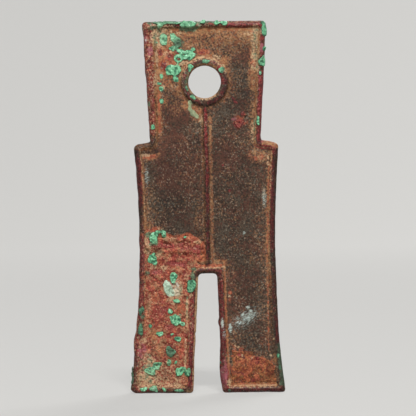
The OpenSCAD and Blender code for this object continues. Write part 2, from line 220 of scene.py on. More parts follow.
class Grain:
    """Seeded lattice noise, the same in every run."""

    SIDE = 64
    OCTAVE_SHIFT = 17.3
    OCTAVE_SHARE = 0.55

    def __init__(self, seed: int) -> None:
        """Fill the lattice with values from -1 to 1."""
        self._lattice = np.random.default_rng(seed).uniform(-1.0, 1.0, (self.SIDE,) * 3)

    def at(self, x: Array, y: Array, z: Array, size: float) -> Array:
        """Read one octave of the noise.

        Args:
            x, y, z: The places, which broadcast against each other.
            size: How far apart the lattice's points stand.

        Returns:
            Values from -1 to 1.
        """
        cells, parts = [], []
        for axis in (x, y, z):
            scaled = np.asarray(axis) / size
            low = np.floor(scaled).astype(int)
            cells.append(low)
            parts.append(ease(scaled - low, 0.0, 1.0))
        total = 0.0
        for corner in product((0, 1), repeat=3):
            weight = 1.0
            for bit, part in zip(corner, parts):
                weight = weight * (part if bit else 1.0 - part)
            index = tuple((cell + bit) % self.SIDE for bit, cell in zip(corner, cells))
            total = total + weight * self._lattice[index]
        return total

    def rough(self, x: Array, y: Array, z: Array, size: float, octaves: int = 3) -> Array:
        """Add up octaves, each half the size of the one before.

        Args:
            x, y, z: The places, which broadcast against each other.
            size: The size of the largest octave.
            octaves: How many there are.

        Returns:
            Values mostly from -1 to 1.
        """
        total, loudness = 0.0, 1.0
        for octave in range(octaves):
            shift = self.OCTAVE_SHIFT * octave
            total = total + loudness * self.at(x + shift, y + shift, z - shift, size / 2**octave)
            loudness *= self.OCTAVE_SHARE
        return total


class Sheet(float, Enum):
    """Heights in the noise that its uses on a face read, far enough apart to differ."""

    BASE = 0.0
    LUMPS = 5.0
    KNOBS = 9.0
    HOLLOWS = 11.0
    STRAY_ACROSS = 21.0
    STRAY_UP = 33.0
    BREAKS = 47.0
    GRIT = 59.0
    WRAP = 71.0


@dataclass(frozen=True)
class FacePlan:
    """Even grid over the coin's face that its maps are kept on."""

    SHORT_OF_END: ClassVar[float] = 1.001

    low: tuple[float, float]
    high: tuple[float, float]
    step: float

    def axes(self) -> tuple[Array, Array]:
        """Give the grid's places along x and along z."""
        return tuple(np.arange(a, b, self.step) for a, b in zip(self.low, self.high))

    def grid(self) -> tuple[Array, Array]:
        """Give the x and the z of every grid point."""
        return tuple(np.meshgrid(*self.axes(), indexing="ij"))

    def window(self, low: Sequence[float], high: Sequence[float]) -> tuple[slice, slice]:
        """Find the part of the grid that covers a box.

        Args:
            low, high: The box's corners, as x and z.

        Returns:
            The slices along x and along z.
        """
        ends = []
        for axis, start, a, b in zip(self.axes(), self.low, low, high):
            first = max(int((a - start) / self.step), 0)
            last = min(math.ceil((b - start) / self.step) + 1, len(axis))
            ends.append(slice(first, last))
        return tuple(ends)

    def pick(self, values: Array, x: Array, z: Array) -> Array:
        """Read a map between its grid points.

        Args:
            values: The map.
            x, z: The places.

        Returns:
            The map's values there.
        """
        last = np.array(values.shape) - self.SHORT_OF_END
        across = np.clip((x - self.low[0]) / self.step, 0.0, last[0])
        up = np.clip((z - self.low[1]) / self.step, 0.0, last[1])
        i, j = across.astype(int), up.astype(int)
        u, v = across - i, up - j
        near = values[i, j] * (1.0 - v) + values[i, j + 1] * v
        far = values[i + 1, j] * (1.0 - v) + values[i + 1, j + 1] * v
        return near * (1.0 - u) + far * u


class CadShape:
    """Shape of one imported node, for measuring."""

    RAY_START = 20.0
    LEVEL = 0.001

    def __init__(self, node: str) -> None:
        """Read the node's triangles into a search tree.

        Args:
            node: The node.
        """
        mesh = frame["nodes"][node].data
        mesh.calc_loop_triangles()
        points = np.empty(3 * len(mesh.vertices))
        mesh.vertices.foreach_get("co", points)
        corners = np.empty(3 * len(mesh.loop_triangles), int)
        mesh.loop_triangles.foreach_get("vertices", corners)
        self.points = points.reshape(-1, 3) / MM
        self.faces = corners.reshape(-1, 3)
        self._tree = BVHTree.FromPolygons(self.points.tolist(), self.faces.tolist())

    def reach(self, x: Array, z: Array, side: int) -> Array:
        """Measure how far the node stands out from the coin's middle plane.

        Args:
            x, z: Where to measure.
            side: -1 for the front face and 1 for the back.

        Returns:
            The reach, or NaN where the node isn't.
        """
        out = np.full(x.shape, np.nan)
        direction = Vector((0.0, -side, 0.0))
        for index in np.ndindex(*x.shape):
            hit = self._tree.ray_cast(Vector((x[index], side * self.RAY_START, z[index])), direction)
            if hit[0] is not None:
                out[index] = self.RAY_START - hit[3]
        return out

    def outline(self) -> Array:
        """Find the edge loop at the back of the outer wall.

        Returns:
            The loop's segments, as pairs of x and z.
        """
        foot = self.points[self.points[:, 2] < self.points[:, 2].min() + self.LEVEL]
        back = foot[:, 1].max()
        pairs = np.concatenate([self.faces[:, [0, 1]], self.faces[:, [1, 2]], self.faces[:, [2, 0]]])
        level = np.abs(self.points[:, 1] - back) < self.LEVEL
        pairs = pairs[level[pairs].all(axis=1)]
        return self.points[pairs][:, :, [0, 2]]


class Skin:
    """Closed mesh round the inside of a distance field on an even grid."""

    def __init__(self, values: Array, low: Sequence[float], step: float) -> None:
        """Mesh the field with one point in each cell that its border crosses.

        Args:
            values: The field on a grid of x, y and z, less than zero inside.
            low: The grid's first corner.
            step: The grid's spacing.
        """
        inside = values < 0.0
        shape = tuple(n - 1 for n in values.shape)
        count = np.zeros(shape, np.int8)
        for corner in product((0, 1), repeat=3):
            count += inside[tuple(slice(c, c + n) for c, n in zip(corner, shape))]
        cells = np.argwhere((count > 0) & (count < 8))
        number = np.full(shape, -1)
        number[tuple(cells.T)] = np.arange(len(cells))
        self.points = (cells + self._crossings(values, cells)) * step + np.asarray(low)
        self.faces = np.concatenate([self._walls(inside, number, axis) for axis in range(3)])

    @staticmethod
    def _crossings(values: Array, cells: Array) -> Array:
        """Average where the border crosses each cell's edges.

        Args:
            values: The field.
            cells: The cells that the border crosses.

        Returns:
            A place in each cell, from 0 to 1 along each axis.
        """
        total = np.zeros((len(cells), 3))
        hits = np.zeros((len(cells), 1))
        for axis in range(3):
            along = np.eye(3, dtype=int)[axis]
            for corner in product((0, 1), repeat=3):
                if corner[axis]:
                    continue
                start = cells + corner
                a = values[tuple(start.T)]
                b = values[tuple((start + along).T)]
                cross = (a < 0.0) != (b < 0.0)
                part = np.where(cross, a / np.where(cross, a - b, 1.0), 0.0)
                total += cross[:, None] * (np.asarray(corner) + part[:, None] * along)
                hits += cross[:, None]
        return total / hits

    @staticmethod
    def _walls(inside: Array, number: Array, axis: int) -> Array:
        """Join the four cells round each grid edge that leaves the solid.

        Args:
            inside: Which grid points are inside.
            number: The point of each cell.
            axis: The direction of the edges.

        Returns:
            The faces, each turned outwards.
        """
        second, third = (axis + 1) % 3, (axis + 2) % 3
        low = np.take(inside, range(inside.shape[axis] - 1), axis)
        high = np.take(inside, range(1, inside.shape[axis]), axis)
        faces = []
        for leaving in (True, False):
            edges = np.argwhere((low if leaving else ~low) & (~high if leaving else high))
            ring = []
            for back, down in ((1, 1), (0, 1), (0, 0), (1, 0)):
                cell = edges.copy()
                cell[:, second] -= back
                cell[:, third] -= down
                ring.append(number[tuple(cell.T)])
            loop = np.stack(ring, axis=1)
            faces.append(loop if leaving else loop[:, ::-1])
        return np.concatenate(faces)

    def piece(self, name: str, values: Mapping[str, Array]) -> bpy.types.Object:
        """Make the mesh object.

        Args:
            name: The object's name.
            values: A number for each point, by the name that the finish reads.

        Returns:
            The object, smooth shaded and in the scene.
        """
        mesh = bpy.data.meshes.new(name)
        mesh.from_pydata((self.points * MM).tolist(), [], self.faces.tolist())
        mesh.shade_smooth()
        for key, numbers in values.items():
            layer = mesh.attributes.new(key, "FLOAT", "POINT")
            layer.data.foreach_set("value", np.asarray(numbers, np.float32))
        piece = bpy.data.objects.new(name, mesh)
        bpy.context.scene.collection.objects.link(piece)
        return piece


class Stain(Enum):
    """Kinds of stain, with painted shade and highlights among them, named as the vertex value that carries
    them.
    """

    TAN = "tan"
    RUST = "rust"
    WINE = "wine"
    LILAC = "lilac"
    CREAM = "cream"
    GREEN = "green"
    # Dark grime and tone, together with painted shade under the rims, on sides facing away from the light
    # and in hollows.
    SOOT = "soot"
    CHALK = "chalk"
    RUDDY = "ruddy"


@dataclass(frozen=True)
class Spot:
    """Oval mark on a face: its centre, half sizes, strength and turn in degrees."""

    x: float
    z: float
    wide: float
    high: float
    full: float = 1.0
    turn: float = 0.0

    def weight(self, x: Array, z: Array) -> Array:
        """Give the mark's strength at each place."""
        across, along = turned(x - self.x, z - self.z, self.turn)
        return self.full * fade(np.hypot(across / self.wide, along / self.high))


@dataclass(frozen=True)
class Line:
    """Mark along a straight line: its two ends, half width and strength."""

    start: tuple[float, float]
    end: tuple[float, float]
    half: float
    full: float = 1.0

    def weight(self, x: Array, z: Array) -> Array:
        """Give the mark's strength at each place."""
        return self.full * fade(off_segment(x, z, self.start, self.end) / self.half)


Mark = Spot | Line


@dataclass(frozen=True)
class Region:
    """Part of the face with soft borders, where ramps along x and z meet."""

    x: tuple[Ramp, ...] = ()
    z: tuple[Ramp, ...] = ()

    def weight(self, x: Array, z: Array) -> Array:
        """Give the region's strength at each place."""
        parts = [ease(x, *ramp) for ramp in self.x] + [ease(z, *ramp) for ramp in self.z]
        return math.prod(parts)


def strongest(marks: Iterable[Mark], x: Array, z: Array) -> Array:
    """Lay marks over each other.

    Args:
        marks: The marks.
        x, z: Where their strength is wanted.

    Returns:
        The strength of the strongest mark at each place.
    """
    total = np.zeros(np.broadcast(x, z).shape)
    for mark in marks:
        total = np.maximum(total, mark.weight(x, z))
    return total


HEAD = Region(z=((38.5, 41.0),))
HEAD_TOP = Region(z=((55.6, 56.4),))
SHOULDERS = Region(z=((37.9, 38.2), (39.8, 39.2)), x=((8.5, 8.9),))
BENT_BLADE = Region(z=((41.0, 36.0), (8.0, 16.0)))
BLADE_FIELDS = Region(z=((39.5, 37.0),), x=((1.0, 1.6),))
RIDGE = Region(z=((19.4, 20.0), (44.9, 44.2)))
SCABBY_RIM = Region(x=((-7.5, -8.0),), z=HEAD.z)
EATEN_RIM = Region(x=((-9.4, -10.0),), z=((25.5, 24.5),))
GAP_LEFT = Region(x=((-3.7, -3.2), (-0.8, -1.2)), z=((18.6, 17.8),))
GAP_RIGHT = Region(x=((0.9, 1.3), (4.0, 3.5)), z=((19.6, 19.0),))
CROTCH = Region(x=((-3.4, -2.6), (2.2, 1.2)), z=((18.0, 18.6), (21.0, 20.4)))
OUTER_LEG = Region(x=((8.6, 9.2),), z=((20.0, 17.0),))
SOLES = Region(z=((1.1, 0.8),))

ROUGH_ZONES: tuple[Mark, ...] = (
    Line((-9.0, 57.4), (-8.1, 39.6), 1.0), Line((-9.0, 57.5), (1.0, 57.5), 0.8, 0.8),
    Line((9.1, 57.5), (8.7, 48.0), 0.8, 0.6), Line((-10.8, 38.0), (-10.3, 24.0), 0.8, 0.3),
    Line((-10.4, 24.0), (-11.6, 0.5), 1.0, 0.8), Line((-2.2, 18.0), (-2.8, 0.5), 0.8, 0.5),
    Line((-11.0, 0.5), (-3.0, 0.5), 0.8, 0.7), Line((3.0, 0.5), (11.5, 0.5), 0.8, 0.4),
    Spot(-6.3, 53.0, 2.2, 3.6, 0.5), Spot(2.6, 2.4, 0.8, 2.4, 0.6),
)

CRUSTED_RIMS: tuple[Mark, ...] = (
    Line((-8.5, 56.8), (-7.9, 41.0), 0.5), Line((8.5, 56.5), (8.3, 49.5), 0.35, 0.7),
)

OUTLINE_SWELLINGS: tuple[Mark, ...] = (
    Spot(2.3, 3.8, 0.8, 2.4, 0.3), Spot(2.2, 11.0, 0.6, 0.5, 0.3), Spot(-11.2, 8.0, 0.8, 1.2, 0.28),
    Spot(9.6, 39.3, 1.2, 0.5, 0.12),
)
OUTLINE_LOSSES: tuple[Mark, ...] = (
    Spot(-11.3, 39.1, 0.6, 0.6, 0.3), Spot(9.85, 58.15, 0.55, 0.55, 0.45), Spot(-12.1, 0.0, 0.5, 0.4, 0.4),
    Line((-10.6, 39.3), (-9.0, 39.3), 0.4, 0.12),
)

# Marks on the front; the painted light and shade among them are noted where they stand.
FRONT_STAINS: dict[Stain, tuple[Mark, ...]] = {
    Stain.TAN: (
        # The line at z 56.7 is partly tan ground, partly painted light just under the top rim's shade.
        Line((-6.5, 55.4), (7.0, 55.4), 1.7, 0.58), Line((-5.0, 56.7), (7.6, 56.7), 0.35),
        Line((7.6, 56.5), (7.5, 47.5), 0.7, 0.7), Line((7.5, 47.0), (7.4, 40.0), 0.5, 0.45),
        Spot(8.1, 37.0, 1.5, 1.1, 0.5), Spot(-0.7, 20.9, 1.0, 0.9, 0.9), Spot(7.2, 54.8, 0.6, 1.0, 0.7),
        Spot(2.0, 53.6, 5.0, 1.6, 0.42), Spot(-4.6, 44.4, 1.2, 1.4, 0.4), Spot(-1.3, 43.8, 1.0, 1.2, 0.8),
        Spot(-2.8, 45.0, 0.9, 0.9, 0.8), Spot(-5.8, 49.8, 0.8, 0.7, 0.8),
        Spot(2.9, 51.6, 1.0, 1.2, 0.9, -40.0), Spot(-1.2, 27.0, 0.7, 2.6, 0.4),
        Line((0.8, 43.0), (0.95, 20.5), 0.28, 0.65), Line((-0.35, 43.0), (-0.3, 20.5), 0.3, 0.35),
        Line((9.8, 36.5), (9.5, 19.0), 0.3, 0.65), Line((-9.85, 36.0), (-9.7, 26.5), 0.4, 0.5),
        Line((-9.0, 36.8), (-7.4, 37.2), 0.5, 0.8), Line((2.75, 20.0), (3.3, 2.6), 0.17, 0.85),
        Line((9.5, 19.0), (9.55, 6.5), 0.15, 0.5), Line((1.2, 20.4), (2.7, 20.5), 0.5, 0.7),
        Spot(6.0, 5.2, 3.0, 1.2, 0.4), Spot(-6.2, 52.5, 2.4, 4.4, 0.9),
        Line((-7.3, 50.0), (-7.1, 41.0), 0.5, 0.75), Spot(-8.3, 9.1, 0.7, 0.8, 0.7),
        # The line along the right foot's bottom is painted light just inside its bottom rim.
        Spot(-7.2, 6.6, 0.6, 0.8, 0.7), Line((3.6, 1.25), (10.6, 1.2), 0.3, 1.1),
        # The line from x -4.5 to 0.5 is painted light that lifts the shade under the top rim.
        Line((-4.5, 55.9), (0.5, 56.0), 0.6, 0.85), Spot(10.5, 5.1, 0.4, 0.7, 0.7),
        Spot(-6.1, 45.3, 0.5, 1.0, 0.7), Spot(-0.75, 33.4, 0.25, 1.0, 0.5),
    ),
    Stain.RUST: (
        Spot(-6.0, 52.6, 1.8, 2.4, 0.5, 10.0), Spot(-4.1, 13.0, 0.8, 1.0, 0.7),
        Spot(-3.9, 7.6, 0.9, 1.0, 0.6), Spot(-8.1, 15.0, 0.8, 0.6, 0.6),
        Line((-9.2, 25.3), (-8.0, 25.7), 0.3, 0.8), Line((-8.0, 25.7), (-5.0, 24.25), 0.25, 0.8),
        Line((-5.0, 24.25), (-2.8, 24.8), 0.25, 0.8), Line((-2.8, 24.8), (-0.6, 23.4), 0.3, 0.8),
        Line((-0.6, 23.4), (-0.4, 21.4), 0.3, 0.8), Spot(7.5, 56.3, 0.5, 0.4),
        Spot(7.6, 51.3, 0.5, 0.7, 0.8), Line((-7.2, 46.6), (-7.1, 40.8), 0.2, 0.7),
        Spot(-8.8, 36.9, 0.9, 0.5), Spot(-0.3, 53.2, 1.1, 0.5, 0.7), Line((-0.9, 19.8), (2.2, 19.8), 0.28),
        Line((2.75, 19.0), (3.3, 2.6), 0.1, 0.6), Spot(4.6, 6.6, 1.4, 0.8, 0.5, -20.0),
        Spot(3.6, 15.6, 0.35, 0.3, 0.75), Spot(3.6, 14.6, 0.35, 0.4, 0.7),
        Line((9.5, 17.0), (9.55, 6.5), 0.1, 0.55), Line((9.85, 36.0), (9.55, 22.0), 0.12, 0.55),
        Spot(6.5, 4.0, 3.6, 2.8, 0.45), Spot(-10.0, 22.6, 0.9, 1.2, 0.6),
        # The first line is painted light just inside the right foot's bottom rim.
        Line((3.6, 1.35), (10.4, 1.3), 0.2, 0.42), Spot(-0.7, 21.0, 0.9, 0.7, 0.7),
        Spot(7.0, 37.0, 0.4, 0.3, 0.8, 30.0), Spot(8.9, 36.7, 0.6, 0.4, 0.8, 20.0),
        Spot(7.9, 36.4, 0.3, 0.5, 0.7, 30.0), Line((-9.95, 36.0), (-9.8, 26.5), 0.14, 0.45),
        Spot(5.6, 42.4, 1.0, 1.2, 0.6, 20.0), Spot(-5.1, 23.9, 0.7, 0.35, 0.8),
        Spot(-1.5, 23.5, 0.7, 0.4, 0.8), Spot(-7.4, 25.7, 0.8, 0.3, 0.8), Spot(-5.1, 22.0, 0.9, 0.3, 0.8),
        Spot(-9.3, 22.7, 0.5, 0.5, 0.8),
    ),
    Stain.WINE: (
        Line((3.6, 57.45), (9.0, 57.4), 0.45), Spot(-5.7, 57.4, 0.6, 0.35), Spot(-4.2, 57.5, 0.55, 0.35),
        Line((8.85, 49.8), (8.5, 39.0), 0.5, 0.95), Spot(9.0, 55.2, 0.4, 0.5),
        Spot(-8.8, 50.0, 0.5, 2.2, 0.75), Spot(-8.4, 46.0, 0.5, 1.4, 0.7), Spot(-6.3, 50.9, 0.55, 0.8),
        Spot(-5.4, 52.5, 0.5, 0.7, 0.9, 30.0), Spot(-4.1, 53.3, 0.5, 0.35), Spot(-0.3, 53.1, 0.5, 0.22),
        Line((4.3, 46.0), (4.9, 45.2), 0.18), Spot(5.3, 42.0, 0.75, 0.7), Spot(5.9, 43.5, 0.35, 0.35),
        Line((8.2, 38.4), (10.7, 38.05), 0.32, 1.2), Line((8.5, 41.0), (8.5, 38.6), 0.3),
        Spot(10.7, 37.6, 0.3, 0.6), Line((-10.6, 36.5), (-10.3, 29.5), 0.45),
        Line((10.5, 36.0), (10.2, 22.0), 0.4, 0.75), Spot(2.7, 35.5, 0.25, 0.22),
        Spot(3.7, 31.6, 0.22, 0.22), Line((-8.4, 23.15), (-4.2, 23.0), 0.38, 0.75),
        Spot(-1.5, 22.2, 0.9, 0.9, 0.75), Spot(-3.4, 22.8, 1.0, 0.6, 0.65),
        Line((-6.0, 20.4), (-3.4, 20.0), 0.24, 1.2), Spot(-7.7, 19.0, 0.85, 0.4, 1.4),
        Line((-1.6, 19.2), (2.2, 19.15), 0.25, 0.6), Line((-2.35, 18.0), (-2.65, 1.0), 0.4, 0.95),
        Line((2.0, 12.5), (2.3, 5.0), 0.5, 0.6), Spot(6.4, 5.2, 2.6, 0.9, 0.42, -15.0),
        Line((10.8, 12.0), (11.1, 6.8), 0.4, 0.6), Line((2.9, 0.5), (11.4, 0.4), 0.4, 1.2),
        Spot(-10.4, 7.0, 0.6, 1.4, 0.8), Spot(-10.3, 4.4, 0.5, 0.8, 0.65),
        Line((-10.4, 22.0), (-10.7, 12.0), 0.45, 0.8), Spot(-6.8, 12.8, 1.0, 0.8, 0.6),
        Spot(-5.8, 10.3, 0.8, 0.5, 0.6), Spot(2.6, 3.1, 0.6, 2.2, 0.8), Spot(-10.6, 5.4, 0.9, 2.4, 0.58),
        Line((11.2, 5.6), (11.7, 1.2), 0.35, 0.6), Line((2.2, 50.6), (2.9, 48.4), 0.35, 0.9),
        Line((-3.0, 50.6), (-3.2, 49.4), 0.3, 0.8), Spot(-6.9, 53.2, 0.4, 0.5, 0.8, 20.0),
        Spot(-10.1, 21.3, 0.5, 1.3, 1.3), Spot(-11.2, 4.4, 0.4, 1.6, 0.9),
    ),
    Stain.LILAC: (
        Spot(-8.5, 53.4, 0.4, 0.8), Spot(-9.1, 55.2, 0.3, 0.6, 0.7), Spot(9.0, 54.0, 0.3, 0.4),
        Spot(9.0, 53.3, 0.35, 0.25), Spot(4.5, 42.7, 0.4, 0.3, 0.7), Spot(2.6, 3.0, 0.6, 2.0, 0.75),
        Spot(-10.0, 6.4, 1.0, 1.8, 0.42),
    ),
    Stain.CREAM: (
        Spot(-7.7, 55.8, 0.6, 1.2, 0.8), Spot(-7.2, 54.4, 0.5, 0.8, 0.75),
        Line((-7.5, 53.4), (-7.4, 51.2), 0.18, 0.9), Line((-4.2, 51.3), (-2.6, 51.6), 0.3, 0.9),
        Line((1.4, 52.0), (2.9, 51.0), 0.3, 0.6), Spot(-9.4, 22.8, 0.6, 0.8, 0.5),
        Line((7.95, 57.0), (7.9, 50.6), 0.55, 0.72), Line((-9.9, 37.15), (-8.9, 37.2), 0.22),
        Spot(8.4, 37.0, 1.5, 0.9, 0.26, -15.0), Line((9.75, 37.4), (9.75, 35.0), 0.2, 0.5),
        # The first line is a painted highlight on the right foot's bottom rim slope, which faces up.
        Line((3.4, 0.82), (11.2, 0.78), 0.12, 0.5), Spot(4.3, 7.3, 0.2, 0.16, 0.9),
        Spot(4.8, 7.05, 0.22, 0.16, 0.9), Spot(5.4, 7.1, 0.2, 0.14, 0.8), Spot(5.4, 5.8, 0.2, 0.2, 0.8),
        Spot(6.9, 5.4, 0.2, 0.2, 0.8), Spot(9.8, 5.8, 0.2, 0.2), Spot(10.4, 8.3, 0.16, 0.2),
        Spot(9.0, 30.3, 0.35, 1.6, 0.4), Spot(-7.0, 55.4, 1.4, 1.7, 0.66),
        # The short line at the top left corner is a painted highlight.
        Line((-9.2, 57.7), (-8.4, 57.8), 0.2, 0.45), Spot(-7.4, 3.2, 2.8, 1.6, 0.52),
        # The line along the top right is a painted highlight on the top rim's bevel.
        Line((3.6, 57.8), (8.8, 57.75), 0.14, 0.45), Spot(-9.3, 23.8, 0.35, 0.7),
        Spot(-7.4, 21.8, 0.35, 0.55, 1.2, -30.0), Spot(-9.4, 2.4, 1.6, 1.2, 1.15),
        Line((-9.8, 1.4), (-4.4, 1.3), 0.4, 0.7), Spot(-8.7, 5.4, 0.5, 0.5, 0.7),
        # The first line is a painted highlight just inside the right foot's bottom rim.
        Line((3.6, 1.15), (10.4, 1.1), 0.14, 0.5), Spot(-9.4, 4.4, 1.5, 2.0, 0.5),
        Spot(-4.5, 16.2, 0.8, 1.5, 0.9), Spot(-5.7, 14.8, 0.6, 0.5, 0.7), Spot(-6.7, 19.5, 0.8, 0.6, 0.5),
        Spot(-9.1, 22.5, 0.6, 0.9, 0.85), Line((-8.2, 57.15), (-4.8, 57.4), 0.35, 0.75),
        Spot(-9.9, 8.3, 0.6, 0.6, 0.7), Spot(-7.7, 48.8, 0.5, 1.2, 0.6), Spot(-4.8, 2.0, 1.0, 0.6, 0.62),
        Spot(-8.5, 19.7, 0.6, 0.6, 0.6), Spot(-10.6, 1.7, 0.8, 0.9, 0.85),
        Line((-3.1, 14.5), (-3.2, 10.5), 0.18, 0.75), Line((-3.4, 8.5), (-3.5, 3.5), 0.18, 0.75),
        # The line along the crotch is a painted highlight on its rim's crest.
        Spot(2.7, 19.6, 0.4, 0.14), Line((-1.2, 19.55), (2.2, 19.5), 0.14, 0.55),
        Spot(-5.7, 55.4, 1.6, 1.2, 0.5), Spot(-5.7, 53.1, 0.7, 0.5, 0.6), Spot(3.3, 1.6, 0.4, 0.6, 0.8),
        Spot(-0.6, 42.5, 0.35, 0.8, 0.7), Spot(-2.5, 15.4, 0.3, 0.8, 0.6), Spot(-9.3, 1.3, 0.8, 0.4, 1.3),
        Spot(-3.1, 18.1, 0.4, 0.7, 0.55), Spot(-8.9, 5.0, 0.7, 0.6, 1.2), Spot(-8.6, 56.9, 0.5, 0.5, 0.65),
        Spot(-5.2, 14.1, 0.5, 0.4, 0.7), Spot(-6.4, 24.2, 0.4, 0.3, 0.7),
        Line((-2.4, 14.0), (-2.7, 8.0), 0.3, 0.34), Spot(-5.1, 24.0, 0.7, 0.35, 0.75),
        Spot(-1.4, 23.6, 0.7, 0.35, 0.75), Spot(-6.7, 56.85, 0.8, 0.4, 1.1),
        Spot(-0.8, 57.3, 0.6, 0.3, 0.5), Spot(-7.1, 25.6, 0.5, 0.3, 0.65), Spot(3.1, 50.2, 0.4, 0.4, 0.85),
        Spot(-6.4, 47.8, 0.4, 0.4, 0.75), Spot(-8.3, 54.9, 0.4, 0.5, 0.65),
        Spot(2.1, 52.4, 0.6, 0.35, 0.65, -30.0), Spot(6.9, 56.0, 0.8, 0.4, 0.5),
        Spot(-7.9, 19.8, 0.4, 0.3, 0.7), Line((7.4, 42.0), (7.3, 39.6), 0.3, 0.5),
        Spot(8.6, 56.4, 0.4, 0.5, 0.6), Spot(-9.3, 22.7, 0.5, 0.4, 0.8), Spot(-6.2, 4.7, 0.5, 0.4, 1.1),
        Spot(-4.25, 12.0, 0.4, 0.35, 0.5), Spot(-2.5, 57.0, 0.7, 0.3, 0.7),
        Spot(-3.8, 56.1, 0.6, 0.4, 0.7), Spot(-8.0, 23.4, 0.4, 0.35, 0.9), Spot(3.5, 15.05, 0.22, 0.2),
    ),
    Stain.GREEN: (
        Line((8.0, 56.5), (7.9, 50.4), 0.5, 0.4), Spot(-7.0, 55.4, 1.4, 1.6, 0.4),
        Spot(-7.8, 57.0, 0.9, 0.4, 0.65), Line((7.7, 42.5), (7.7, 39.5), 0.15, 0.6),
        Spot(-9.2, 3.8, 1.6, 2.6, 0.45), Spot(-4.3, 16.0, 0.5, 1.0, 0.42),
        Line((-3.1, 15.0), (-3.2, 10.5), 0.2, 0.45), Spot(-2.8, 48.8, 0.4, 1.6, 0.45),
        Spot(-2.6, 56.9, 1.4, 0.5, 1.2), Spot(-2.0, 19.3, 0.5, 0.25), Spot(-2.2, 18.3, 0.35, 0.7, 0.75),
        Spot(-9.0, 24.7, 0.5, 0.5, 0.9), Spot(-4.1, 54.7, 0.9, 0.9, 0.7), Spot(-8.7, 45.1, 0.2, 0.5, 0.8),
        Spot(-9.2, 18.8, 0.4, 0.7, 0.55), Line((-8.6, 57.85), (1.4, 57.85), 0.3, 0.7),
        Line((-11.8, 6.0), (-12.1, 1.0), 0.25, 0.6), Line((11.3, 7.2), (11.8, 1.4), 0.55, 0.8),
        Spot(-2.3, 45.3, 0.4, 0.4, 0.7), Spot(-8.5, 23.4, 0.5, 0.5, 0.75), Spot(-0.8, 57.3, 0.6, 0.3, 0.5),
        Spot(-10.0, 12.4, 0.4, 0.7, 0.6), Spot(-4.25, 12.0, 0.4, 0.35, 0.65),
        Spot(-8.0, 23.4, 0.4, 0.35, 0.55),
    ),
    Stain.SOOT: (
        Spot(-7.5, 22.35, 0.7, 0.35, 1.3, -20.0), Spot(5.0, 46.3, 2.6, 4.8, 0.62),
        Spot(-5.5, 34.5, 3.6, 3.6, 0.62), Spot(9.7, 2.9, 0.5, 0.6, 0.7),
        Line((-8.4, 58.0), (-4.2, 58.0), 0.3, 0.75), Spot(-2.7, 57.7, 1.3, 0.35, 0.3),
        Line((-11.2, 0.0), (-2.6, 0.0), 0.35, 0.8), Line((3.0, 0.0), (12.0, 0.0), 0.3, 0.8),
        Spot(9.1, 57.9, 0.6, 0.4, 0.6), Spot(-1.9, 46.7, 0.5, 0.5, 0.8), Spot(-2.8, 48.2, 0.7, 1.5, 0.65),
        Spot(4.8, 54.1, 3.0, 1.1, 0.58), Spot(-5.2, 43.0, 2.0, 3.0, 0.42), Spot(-8.9, 54.0, 0.2, 0.25),
        Spot(-8.7, 51.8, 0.25, 0.2), Spot(-8.3, 44.0, 0.2, 0.25), Spot(-8.2, 42.2, 0.22, 0.2),
        Spot(-5.2, 29.6, 3.0, 3.6, 0.85), Spot(5.2, 30.0, 3.4, 7.0, 0.5), Spot(6.6, 17.0, 2.2, 3.5, 0.45),
        # Both marks on this line are painted shadow under the left shoulder's rim.
        Line((-10.3, 37.55), (-7.9, 37.65), 0.28, 1.3), Spot(-8.35, 38.4, 0.35, 0.7),
        # The second mark on this line is painted shadow under the right shoulder's rim crest.
        Line((-8.0, 40.4), (-7.75, 37.9), 0.25, 0.7), Line((8.7, 37.85), (10.2, 37.7), 0.16, 0.8),
        Spot(-8.5, 47.7, 0.2, 0.2), Spot(-5.87, 6.5, 0.9, 1.1), Spot(-4.0, 54.6, 0.8, 0.75),
        Line((-10.4, 13.2), (-10.6, 9.0), 0.6, 0.6), Line((-11.9, 6.0), (-12.2, 0.5), 0.9, 1.2),
        Line((11.5, 5.0), (11.9, 1.4), 0.5, 0.4), Spot(-6.9, 3.8, 0.7, 1.0, 0.4),
        Spot(-8.7, 6.9, 0.16, 0.2), Spot(-8.1, 6.0, 0.2, 0.16), Line((3.0, 0.4), (11.7, 0.45), 0.38, 1.1),
        Spot(-8.4, 0.5, 0.7, 0.5, 0.6), Spot(-3.0, 0.6, 0.7, 0.6, 0.7), Spot(-4.8, 45.7, 1.2, 1.2, 0.5),
        Spot(-8.5, 46.1, 0.5, 0.8, 0.6), Spot(-8.4, 44.2, 0.5, 0.9, 0.7), Spot(8.7, 52.2, 0.6, 0.9, 0.45),
        Line((10.2, 30.0), (10.05, 20.5), 0.3, 0.8), Spot(-0.1, 51.6, 0.9, 0.5, 0.45),
        Spot(-6.6, 3.2, 1.0, 1.2, 0.5), Line((-2.5, 7.5), (-2.7, 2.0), 0.35, 0.5),
        Spot(-2.0, 43.8, 0.5, 0.6, 0.3), Spot(1.9, 18.8, 0.5, 0.5, 0.8), Spot(3.1, 10.8, 0.35, 0.8, 0.55),
        Spot(6.7, 6.3, 0.9, 0.5, 0.6), Spot(4.4, 13.6, 0.8, 0.8, 0.6), Spot(2.4, 18.2, 0.4, 0.6, 0.6),
        Spot(2.8, 41.5, 0.9, 1.2, 0.6), Line((10.35, 30.0), (10.25, 20.5), 0.3, 1.3),
        Spot(1.0, 19.1, 0.5, 0.25, 0.6), Spot(-10.1, 21.4, 0.4, 0.9, 0.4),
    ),
    Stain.RUDDY: (
        Spot(-5.0, 36.0, 4.5, 4.5), Spot(-5.0, 42.5, 2.4, 3.4), Spot(3.6, 37.0, 2.4, 2.4, 0.6),
        Spot(4.4, 15.6, 2.0, 2.4, 0.6),
    ),
    Stain.CHALK: (
        Spot(6.6, 11.75, 1.4, 0.5, 0.5, 30.0), Spot(5.9, 11.5, 2.6, 1.2, 0.3, 30.0),
